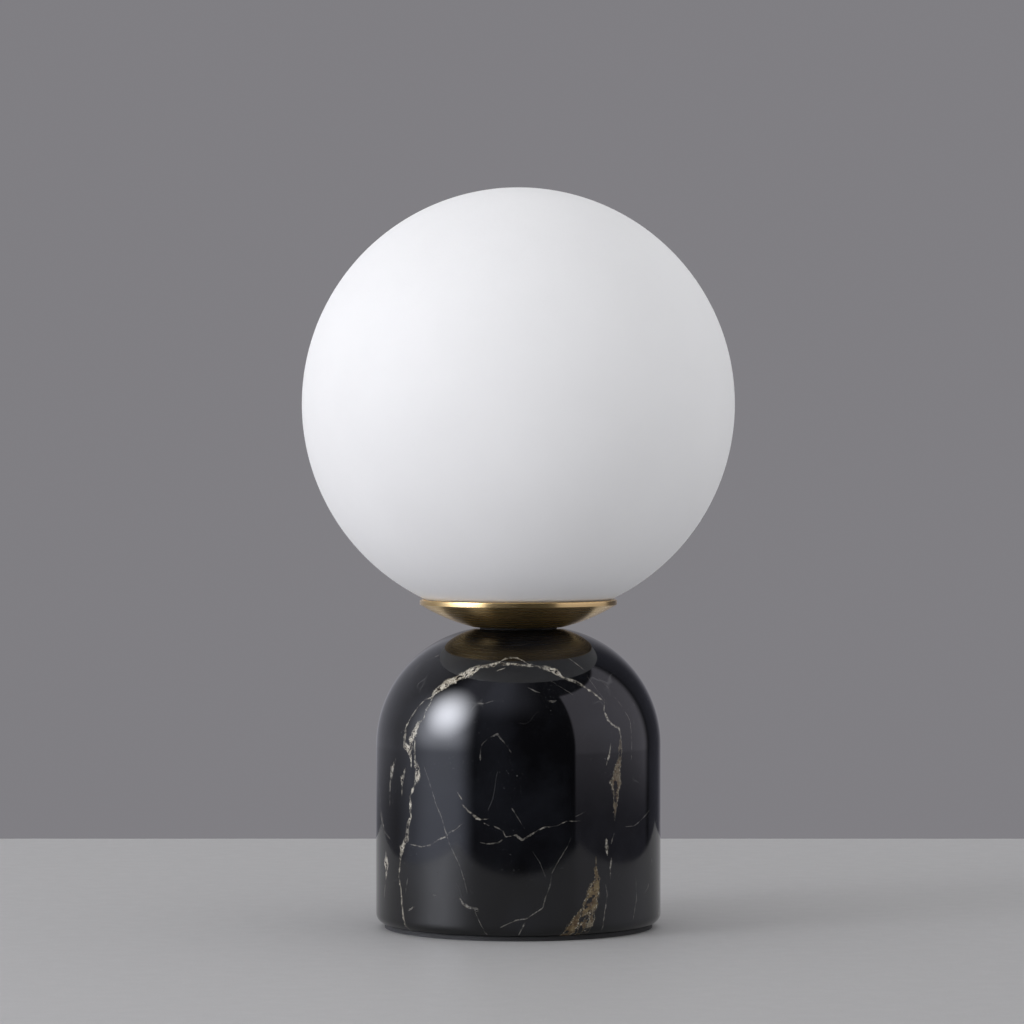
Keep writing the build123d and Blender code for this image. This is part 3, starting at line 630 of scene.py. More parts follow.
@dataclass(frozen=True)
class VeinedStone(Finish):
    """Polished black stone with cream and golden veins, broken into fragments where wide. The veins'
    tones hold painted light and shade as well as their own colour: brighter on the left, dimmer at
    the middle and the foot.
    """

    # Each vein's tone picks among these colours, and the tones also paint light and shade: bright
    # cream on the left, dim grey at the middle, darker gold on the right and at the foot.
    cream: Colour = (0.76, 0.72, 0.63)
    gold_and_shade: Colour = (0.155, 0.116, 0.056)
    sand: Colour = (0.170, 0.146, 0.102)
    rust: Colour = (0.062, 0.036, 0.016)
    white: Colour = (0.27, 0.27, 0.275)
    blue_grey: Colour = (0.010, 0.011, 0.0145)
    dust_colour: Colour = (0.30, 0.29, 0.28)
    scratch_roughness: float = 0.10
    vein_roughness: float = 0.07
    fleck_share: float = 0.45
    hairline_share: float = 0.16
    patch_share: float = 0.35
    layer_shift: float = 37.0

    def hairlines(self, board: Board, place: Value) -> bpy.types.NodeSocket:
        """Faint, broken lines that run all through the stone.

        Args:
            board: the material's board.
            place: the place in millimetres.

        Returns:
            Their mask.
        """
        found: Optional[bpy.types.NodeSocket] = None
        for size, shift, thin in ((34.0, 27.0, 0.0034), (52.0, 91.0, 0.0024)):
            field_value = board.noise(place, size, detail=3.0, rough=0.40, shift=shift)
            ridge = board.math("ABSOLUTE", board.math("SUBTRACT", field_value, 0.5))
            line = board.span(ridge, 0.0, thin, 1.0, 0.0)
            shown = board.span(board.noise(place, 13.0, detail=2.0, shift=shift), 0.60, 0.72)
            line = board.math("MULTIPLY", line, shown)
            found = line if found is None else board.math("MAXIMUM", found, line)
        return found

    def body(self, board: Board, place: Value) -> bpy.types.NodeSocket:
        """The stone between its veins: black, clouded blue grey, with flecks and hairlines.

        Args:
            board: the material's board.
            place: the place in millimetres.

        Returns:
            Its colour.
        """
        cloud = board.noise(place, 30.0, detail=5.0, rough=0.6)
        base = board.blend(board.span(cloud, 0.46, 0.74, 0.0, 0.8), self.colour, self.blue_grey)
        flecks = board.noise(place, 0.8, detail=3.0, rough=0.7)
        near = board.span(board.noise(place, 16.0, detail=2.0, shift=31.0), 0.52, 0.7)
        fleck = board.math("MULTIPLY", board.span(flecks, 0.66, 0.72), near)
        base = board.blend(board.math("MULTIPLY", fleck, self.fleck_share), base, self.white)
        hair = board.math("MULTIPLY", self.hairlines(board, place), self.hairline_share)
        return board.blend(hair, base, self.white)

    def grit(self, board: Board, place: Value) -> VeinGrit:
        """Lays out the variation inside the veins.

        Args:
            board: the material's board.
            place: the place in millimetres.

        Returns:
            It, with its masks of small holes and of larger caves.
        """
        holes = board.noise(place, 1.5, detail=3.0, rough=0.6, shift=71.0)
        caves = board.noise(place, 2.4, detail=4.0, rough=0.6, shift=43.0)
        return VeinGrit(
            mottle=board.noise(place, 0.9, detail=4.0, rough=0.65),
            speckle=board.noise(place, 0.55, detail=3.0, rough=0.7, shift=19.0),
            stain=board.noise(place, 1.9, detail=4.0, rough=0.6, shift=5.0),
            hole=board.span(holes, 0.51, 0.58),
            cave=board.span(caves, 0.50, 0.57),
        )

    def vein(self, board: Board, grit: VeinGrit, tone: Value, core: Value) -> bpy.types.NodeSocket:
        """The colour of one layer's veins.

        A tone of 0 is white and 1 is cream. Past 1 the vein turns golden, and its core
        fills with rust and opens into black holes.

        Args:
            board: the material's board.
            grit: the variation inside the veins.
            tone: the tone.
            core: how far inside the vein a place lies.

        Returns:
            The colour.
        """
        skin = board.blend(board.span(tone, 0.0, 1.0), self.white, self.cream)
        amber = board.blend(board.span(tone, 1.6, 1.7), self.sand, self.gold_and_shade)
        golden = board.span(tone, 1.0, 1.6, 0.75, 3.0)
        tinge = board.math("MULTIPLY", board.span(grit.speckle, 0.38, 0.62), golden, clamp=True)
        skin = board.blend(tinge, skin, amber)
        stained = board.span(grit.stain, 0.50, 0.62)
        patch = board.math("MULTIPLY", stained, board.span(tone, 0.6, 1.0))
        skin = board.blend(board.math("MULTIPLY", patch, self.patch_share), skin, self.gold_and_shade)
        fill = board.blend(board.span(grit.stain, 0.38, 0.60), self.rust, amber)
        fill = board.blend(board.span(grit.mottle, 0.60, 0.70, 0.0, 0.25), fill, self.cream)
        rich = board.span(tone, 1.0, 1.5)
        wider = board.math("MULTIPLY", rich, board.math("SUBTRACT", grit.cave, grit.hole))
        void = board.math("ADD", grit.hole, wider)
        inner = board.blend(rich, skin, fill)
        inner = board.blend(void, inner, self.rust)
        inner = board.blend(board.span(void, 0.6, 1.0), inner, self.colour)
        return board.blend(core, skin, inner)

    def dress(self, board: Board, shader: bpy.types.Node) -> None:
        """Feeds the stone's body, its veins and its polish.

        Args:
            board: the material's board.
            shader: its shader node.
        """
        place = board.place()
        base = self.body(board, place)
        grit = self.grit(board, place)
        veins: Optional[bpy.types.NodeSocket] = None
        for number, layer in enumerate(Layer):
            given = board.attribute(layer.value).outputs["Vector"]
            feeds = {"Place": place, "Field": given, "Shift": self.layer_shift * number}
            drawn = board.effect(shared(vein_effect), feeds).outputs
            mask = drawn["Mask"]
            base = board.blend(mask, base, self.vein(board, grit, drawn["Tone"], drawn["Core"]))
            veins = mask if veins is None else board.math("MAXIMUM", veins, mask)
        polish = board.span(board.noise(place, 6.0, detail=3.0), 0.35, 0.7, 0.0, 0.02)
        rough = board.math("ADD", polish, self.roughness)
        rough = board.math("MULTIPLY_ADD", veins, self.vein_roughness, rough)
        self.feed_soiled(board, shader, place, base, rough)
        sunk = board.math("MULTIPLY", veins, -1.0)
        height = board.math("MULTIPLY_ADD", grit.mottle, 0.15, sunk)
        board.feed(shader.inputs["Normal"], board.bump(height, self.relief))


OPAL = OpalGlass(
    "etched_opal",
    (0.880, 0.880, 0.910),
    0.62,
    relief=0.006,
    sockets=(
        ("Subsurface Weight", 0.35),
        ("Subsurface Radius", (1.0, 1.0, 1.0)),
        ("Subsurface Scale", 8 * MM),
        ("Specular IOR Level", 0.22),
    ),
)
DISH_BRASS = SpunBrass(
    "spun_dish_brass",
    (0.86, 0.62, 0.29),
    0.25,
    metallic=1.0,
    relief=0.0002,
    dust=0.05,
    sockets=(("Anisotropic", 0.7), ("Anisotropic Rotation", 0.25)),
)
TURNED_BRASS = Finish(
    "turned_brass", (0.74, 0.56, 0.28), 0.30, metallic=1.0, grain=0.14, relief=0.004, dust=0.1
)
STONE = VeinedStone("black_veined_stone", (0.0022, 0.0022, 0.0028), 0.05, relief=0.005, dust=0.03)
PAD = Finish("pad_rubber_matt", (0.022, 0.022, 0.023), 0.75, grain=0.25, relief=0.05)
ZINC = Finish(
    "zinc_plate", (0.60, 0.61, 0.63), 0.32, metallic=1.0, grain=0.10, relief=0.006, grain_size=0.6
)
NICKEL = Finish(
    "nickel_plate", (0.66, 0.62, 0.55), 0.20, metallic=1.0, grain=0.06, relief=0.003, grain_size=0.5
)
BLACK_PLASTIC = Finish("black_nylon", (0.018, 0.018, 0.019), 0.48, grain=0.15, relief=0.02)
WHITE_PLASTIC = Finish("white_nylon", (0.78, 0.76, 0.70), 0.45, grain=0.05, relief=0.02)
SILICONE = Finish(
    "clear_silicone_rubber",
    (0.72, 0.72, 0.70),
    0.40,
    grain=0.05,
    relief=0.01,
    sockets=(
        ("Subsurface Weight", 0.6),
        ("Subsurface Radius", (1.0, 1.0, 1.0)),
        ("Subsurface Scale", 2 * MM),
    ),
)
STEATITE = Finish(
    "glazed_steatite_ware",
    (0.80, 0.77, 0.70),
    0.28,
    grain=0.025,
    relief=0.010,
    grain_size=1.2,
    sockets=(("Coat Weight", 0.35), ("Coat Roughness", 0.12)),
)
BULB_CERAMIC = Finish("bulb_cap_ware", (0.84, 0.83, 0.79), 0.38, grain=0.04, relief=0.02)
FROSTED = Finish(
    "frosted_capsule",
    (0.92, 0.92, 0.90),
    0.45,
    grain=0.03,
    relief=0.004,
    sockets=(("Transmission Weight", 0.75), ("IOR", 1.5)),
)
PHOSPHOR = Finish("phosphor_coat", (0.86, 0.70, 0.16), 0.55, grain=0.08, relief=0.03)
LEAD_BROWN = Finish("brown_lead", (0.16, 0.07, 0.03), 0.5, grain=0.12, relief=0.01)
LEAD_BLUE = Finish("blue_lead", (0.05, 0.14, 0.40), 0.5, grain=0.12, relief=0.01)
LEAD_GREEN = Finish("green_lead", (0.13, 0.38, 0.08), 0.5, grain=0.12, relief=0.01)


# ---- Turned shapes --------------------------------------------------------------------
@dataclass
class Profile:
    """Half section of a turned piece, as points off the axis and up.

    It is drawn with the material on its left, so that the turned faces point outwards.
    """

    pitch: float
    points: list[tuple[float, float]] = field(default_factory=list)
    worn: list[float] = field(default_factory=list)

    def start(self, radius: float, height: float) -> "Profile":
        """Puts the first point.

        Args:
            radius: its distance off the axis.
            height: its height.

        Returns:
            The profile itself, as the other methods do.
        """
        self.points.append((radius, height))
        self.worn.append(0.0)
        return self

    def line(self, radius: float, height: float, fine: bool = True) -> "Profile":
        """Draws a straight run.

        Args:
            radius: where it ends, off the axis.
            height: where it ends, upwards.
            fine: whether it is cut to the pitch.

        Returns:
            The profile itself.
        """
        from_radius, from_height = self.points[-1]
        length = math.hypot(radius - from_radius, height - from_height)
        count = max(1, math.ceil(length / self.pitch)) if fine else 1
        for step in range(1, count + 1):
            share = step / count
            across = from_radius + (radius - from_radius) * share
            up = from_height + (height - from_height) * share
            self.points.append((across, up))
            self.worn.append(0.0)
        return self

    def arc(
        self, centre: tuple[float, float], radius: float, first: float, last: float, worn: float = 0.0
    ) -> "Profile":
        """Draws an arc, whose start is the last point.

        Args:
            centre: its centre, off the axis and up.
            radius: its radius.
            first: the angle at which it starts, in degrees up from outwards.
            last: the angle at which it ends.
            worn: how much its edge is rubbed, from 0 to 1.

        Returns:
            The profile itself.
        """
        sweep = math.radians(last - first)
        count = max(4, math.ceil(abs(sweep) * radius / self.pitch))
        for step in range(1, count + 1):
            angle = math.radians(first) + sweep * step / count
            across = centre[0] + radius * math.cos(angle)
            self.points.append((max(0.0, across), centre[1] + radius * math.sin(angle)))
            self.worn.append(worn)
        return self

    def close(self) -> "Profile":
        """Joins the end to the start without cutting the run."""
        return self.line(*self.points[0], fine=False)

    def mesh(self, name: str) -> bpy.types.Mesh:
        """The points as a mesh, with the distance along the section and the wear.

        Args:
            name: the mesh's name.

        Returns:
            The mesh.
        """
        mesh = bpy.data.meshes.new(name)
        mesh.from_pydata([(across, 0.0, up) for across, up in self.points], [], [])
        steps = np.linalg.norm(np.diff(np.array(self.points), axis=0), axis=1)
        along = np.concatenate(([0.0], np.cumsum(steps))) * MM_PER_METRE
        for label, values in (("along", along), ("worn", np.array(self.worn))):
            layer = mesh.attributes.new(label, "FLOAT", "POINT")
            layer.data.foreach_set("value", values.astype(np.float32))
        return mesh


def turning_tree() -> bpy.types.NodeTree:
    """Geometry tree that turns a section's points about the Z axis.

    The rings of points are welded where they meet, at the seam and on the axis, and what
    is left there without a face is taken away.

    Returns:
        The tree.
    """
    board, given, leave = open_group(
        "GeometryNodeTree",
        "turned_piece",
        {
            "Section": "NodeSocketGeometry",
            "Points": 2,
            "Steps": 64,
            "Gather": 0.0,
            "Gather Angle": 0.0,
            "Finish": "NodeSocketMaterial",
        },
        {"Piece": "NodeSocketGeometry"},
    )
    columns = board.math("ADD", given["Steps"], 1)
    grid = board.add(
        "GeometryNodeMeshGrid",
        {"Size X": 1.0, "Size Y": 1.0, "Vertices X": columns, "Vertices Y": given["Points"]},
    )
    index = board.add("GeometryNodeInputIndex").outputs[0]
    ratio = board.math("DIVIDE", board.math("ADD", index, 0.5), given["Points"])
    column = board.math("FLOOR", ratio)
    row = board.math("SUBTRACT", index, board.math("MULTIPLY", column, given["Points"]))
    turn = board.math("MULTIPLY", board.math("DIVIDE", column, given["Steps"]), FULL_TURN)
    bunch = board.math("SINE", board.math("SUBTRACT", turn, given["Gather Angle"]))
    angle = board.math("SUBTRACT", turn, board.math("MULTIPLY", bunch, given["Gather"]))

    def sampled(kind: str, value: bpy.types.NodeSocket) -> bpy.types.NodeSocket:
        """Reads a value of the section's point in this row.

        Args:
            kind: the value's type.
            value: the value on the section.

        Returns:
            It, on the turned points.
        """
        node = board.add("GeometryNodeSampleIndex", data_type=kind, domain="POINT")
        board.feed(node.inputs["Geometry"], given["Section"])
        board.feed(node.inputs["Value"], value)
        board.feed(node.inputs["Index"], row)
        return node.outputs[0]

    spot = sampled("FLOAT_VECTOR", board.add("GeometryNodeInputPosition").outputs[0])
    turned = board.add("ShaderNodeVectorRotate", rotation_type="Z_AXIS")
    board.feed(turned.inputs["Vector"], spot)
    board.feed(turned.inputs["Angle"], angle)
    shape = board.add("GeometryNodeStoreNamedAttribute", data_type="FLOAT2", domain="CORNER")
    board.feed(shape.inputs["Geometry"], grid.outputs["Mesh"])
    board.feed(shape.inputs["Name"], "UVMap")
    board.feed(shape.inputs["Value"], grid.outputs["UV Map"])
    kept = shape.outputs[0]
    for label in ("along", "worn"):
        named = board.add("GeometryNodeInputNamedAttribute", {"Name": label}, data_type="FLOAT")
        store = board.add("GeometryNodeStoreNamedAttribute", data_type="FLOAT", domain="POINT")
        board.feed(store.inputs["Geometry"], kept)
        board.feed(store.inputs["Name"], label)
        board.feed(store.inputs["Value"], sampled("FLOAT", named.outputs[0]))
        kept = store.outputs[0]
    placed = board.add("GeometryNodeSetPosition", {"Geometry": kept, "Position": turned.outputs[0]})
    welded = board.add("GeometryNodeMergeByDistance", {"Geometry": placed.outputs[0]})
    board.feed(welded.inputs["Distance"], WELD_GAP)
    faces = board.add("GeometryNodeInputMeshEdgeNeighbors").outputs[0]
    loose = board.math("LESS_THAN", faces, 0.5)
    clean = board.add(
        "GeometryNodeDeleteGeometry",
        {"Geometry": welded.outputs[0], "Selection": loose},
        domain="EDGE",
        mode="EDGE_FACE",
    )
    smooth = board.add("GeometryNodeSetShadeSmooth", {"Geometry": clean.outputs[0]})
    real = board.add("GeometryNodeRealizeInstances", {"Geometry": smooth.outputs[0]})
    dressed = board.add("GeometryNodeSetMaterial", {"Geometry": real.outputs[0]})
    board.feed(dressed.inputs["Material"], given["Finish"])
    board.feed(leave.inputs["Piece"], dressed.outputs[0])
    return board.tree


def plain_mesh(source: bpy.types.Object, name: str) -> bpy.types.Mesh:
    """What an object's modifiers make of it, as a mesh of its own.

    Args:
        source: the object.
        name: the new mesh's name.

    Returns:
        The mesh.
    """
    graph = bpy.context.evaluated_depsgraph_get()
    shown = source.evaluated_get(graph)
    mesh = bpy.data.meshes.new_from_object(shown, preserve_all_data_layers=True, depsgraph=graph)
    mesh.name = name
    return mesh


def linked(name: str, mesh: bpy.types.Mesh) -> bpy.types.Object:
    """Puts a mesh in the scene, at the origin.

    Args:
        name: the new object's name.
        mesh: its mesh.

    Returns:
        The object.
    """
    made = bpy.data.objects.new(name, mesh)
    bpy.context.scene.collection.objects.link(made)
    return made


def grown(
    name: str, seed: bpy.types.Mesh, tree: bpy.types.NodeTree, values: dict[str, object]
) -> bpy.types.Object:
    """Runs a geometry tree on a mesh and keeps the result as a plain mesh object.

    Args:
        name: the new object's name.
        seed: the mesh that the tree starts from.
        tree: the geometry tree.
        values: its inputs by name.

    Returns:
        The object, without a modifier.
    """
    start = linked(name + "_seed", seed)
    modifier = start.modifiers.new("grow", "NODES")
    modifier.node_group = tree
    for item in tree.interface.items_tree:
        if item.item_type == "SOCKET" and item.in_out == "INPUT" and item.name in values:
            modifier[item.identifier] = values[item.name]
    mesh = plain_mesh(start, name)
    bpy.data.objects.remove(start)
    return linked(name, mesh)


def turned_piece(
    name: str, profile: Profile, steps: int, finish: Finish, gather: float = 0.0
) -> bpy.types.Object:
    """Turns a section into a piece.

    Args:
        name: the piece's name.
        profile: its half section.
        steps: how many columns of faces go round it.
        finish: its finish.
        gather: how much closer together the columns stand at the front, from 0 to 1.

    Returns:
        The piece.
    """
    values = {
        "Points": len(profile.points),
        "Steps": steps,
        "Gather": gather,
        "Gather Angle": -FULL_TURN / 4,
        "Finish": finish.material(),
    }
    piece = grown(name, profile.mesh(name + "_section"), shared(turning_tree), values)
    piece.data.set_sharp_from_angle(angle=SHARP_ANGLE)
    return piece


def settle(piece: bpy.types.Object, body: str, slot: str, *nodes: str) -> bpy.types.Object:
    """Hands a finished piece to the frame.

    Args:
        piece: the piece.
        body: the body that it moves with.
        slot: the record's material slot; not used.
        nodes: the nodes that it stands for.

    Returns:
        The piece.
    """
    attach(piece, body)
    if nodes:
        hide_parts(*nodes)
    LOG.info("%s: %d faces, on %s", piece.name, len(piece.data.polygons), body)
    return piece


def carry(finishes: dict[str, Finish]) -> None:
    """Gives nodes that keep their own shape their finish.

    Args:
        finishes: the finish of each node.
    """
    for node, finish in finishes.items():
        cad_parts[node].material_slots[0].material = finish.material()
        LOG.info("%s: %s", node, finish.name)


def reach(node: str) -> float:
    """How far a node that is centred on the axis reaches from it."""
    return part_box(node)[1].x


# ---- Globe ------------------------------------------------------------------------------
@dataclass
class GlassGlobe:
    """Blown opal ball, ground flat round the mouth in its bottom."""

    wall: float = 3.0 * MM
    mouth_radius: float = 17.0 * MM
    mouth_round: float = 0.5 * MM
    pitch: float = 1.5 * MM
    steps: int = 240

    def profile(self) -> Profile:
        """Its half section, up the outside and back down the inside.

        Returns:
            The closed profile.
        """
        low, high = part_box("glass_globe")
        outer = high.x
        inner = outer - self.wall
        middle = high.z - outer
        soft = self.mouth_round
        edge_radius = math.sqrt(outer**2 - (middle - low.z) ** 2)
        edge_angle = -math.degrees(math.acos(edge_radius / outer))
        mouth_angle = -math.degrees(math.acos(self.mouth_radius / inner))
        mouth_top = middle + inner * math.sin(math.radians(mouth_angle))
        section = Profile(self.pitch)
        section.start(self.mouth_radius + soft, low.z)
        section.line(edge_radius - soft, low.z)
        section.line(edge_radius, low.z + soft / 3)
        section.arc((0.0, middle), outer, edge_angle + 0.4, 90.0)
        section.line(0.0, middle + inner, fine=False)
        section.arc((0.0, middle), inner, 90.0, mouth_angle + 0.4)
        section.line(self.mouth_radius, mouth_top - soft)
        section.line(self.mouth_radius, low.z + soft)
        section.arc((self.mouth_radius + soft, low.z + soft), soft, 180.0, 270.0)
        return section

    def build(self) -> None:
        """Turns the globe and hands it over."""
        globe = turned_piece("opal_ball", self.profile(), self.steps, OPAL)
        settle(globe, "globe", "opal_glass", "glass_globe")


# ---- Dish -------------------------------------------------------------------------------
@dataclass
class SpunDish:
    """Shallow brass dish: a flat floor, a bowl that is part of a sphere, an upright lip."""

    wall: float = 1.6 * MM
    bowl_radius: float = 65.0 * MM
    lip_height: float = 1.7 * MM
    lip_round: float = 0.4 * MM
    tube_clearance: float = 0.15 * MM
    pitch: float = 0.7 * MM
    steps: int = 360

    def profile(self) -> Profile:
        """Its half section, out along the underside and back inside.

        Returns:
            The closed profile.
        """
        low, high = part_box("brass_dish")
        rim = high.x
        hole = reach("threaded_tube") + self.tube_clearance
        inner_bowl = self.bowl_radius - self.wall
        lip = high.z - self.lip_height
        middle = lip + math.sqrt(self.bowl_radius**2 - rim**2)
        flat = math.sqrt(self.bowl_radius**2 - (middle - low.z) ** 2)
        floor = low.z + self.wall
        floor_radius = math.sqrt(inner_bowl**2 - (middle - floor) ** 2)
        rim_inner = rim - self.wall
        soft = self.lip_round

        def down(radius: float, across: float) -> float:
            """The angle of a bowl's point, below the horizon."""
            return -math.degrees(math.acos(across / radius))

        section = Profile(self.pitch)
        section.start(hole, low.z)
        section.line(flat, low.z)
        outer = self.bowl_radius
        section.arc((0.0, middle), outer, down(outer, flat), down(outer, rim))
        section.line(rim, high.z - soft)
        section.arc((rim - soft, high.z - soft), soft, 0.0, 90.0, worn=1.0)
        section.line(rim_inner + soft, high.z)
        section.arc((rim_inner + soft, high.z - soft), soft, 90.0, 180.0, worn=0.7)
        section.line(rim_inner, middle - math.sqrt(inner_bowl**2 - rim_inner**2))
        section.arc(
            (0.0, middle), inner_bowl, down(inner_bowl, rim_inner), down(inner_bowl, floor_radius)
        )
        section.line(hole, floor)
        section.close()
        return section

    def build(self) -> None:
        """Turns the dish, hands it over and dresses its gasket."""
        dish = turned_piece("spun_dish", self.profile(), self.steps, DISH_BRASS)
        settle(dish, "base", "brushed_brass", "brass_dish")
        carry({"dish_gasket": PAD})


# ---- Stone base ---------------------------------------------------------------------------
@dataclass(frozen=True)
class Vein:
    """One vein on the stone's face.

    Each point is its degrees round from the front, its distance in millimetres up the
    face, which runs up the side and over the shoulder, and the vein's width there.
    Its tone, from white through cream to gold, is partly the vein's own colour and partly
    painted light and shade: set brighter on the left, dimmer at the middle and the foot.
    """

    layer: Layer
    gold_and_shade: float
    path: tuple[tuple[float, float, float], ...]
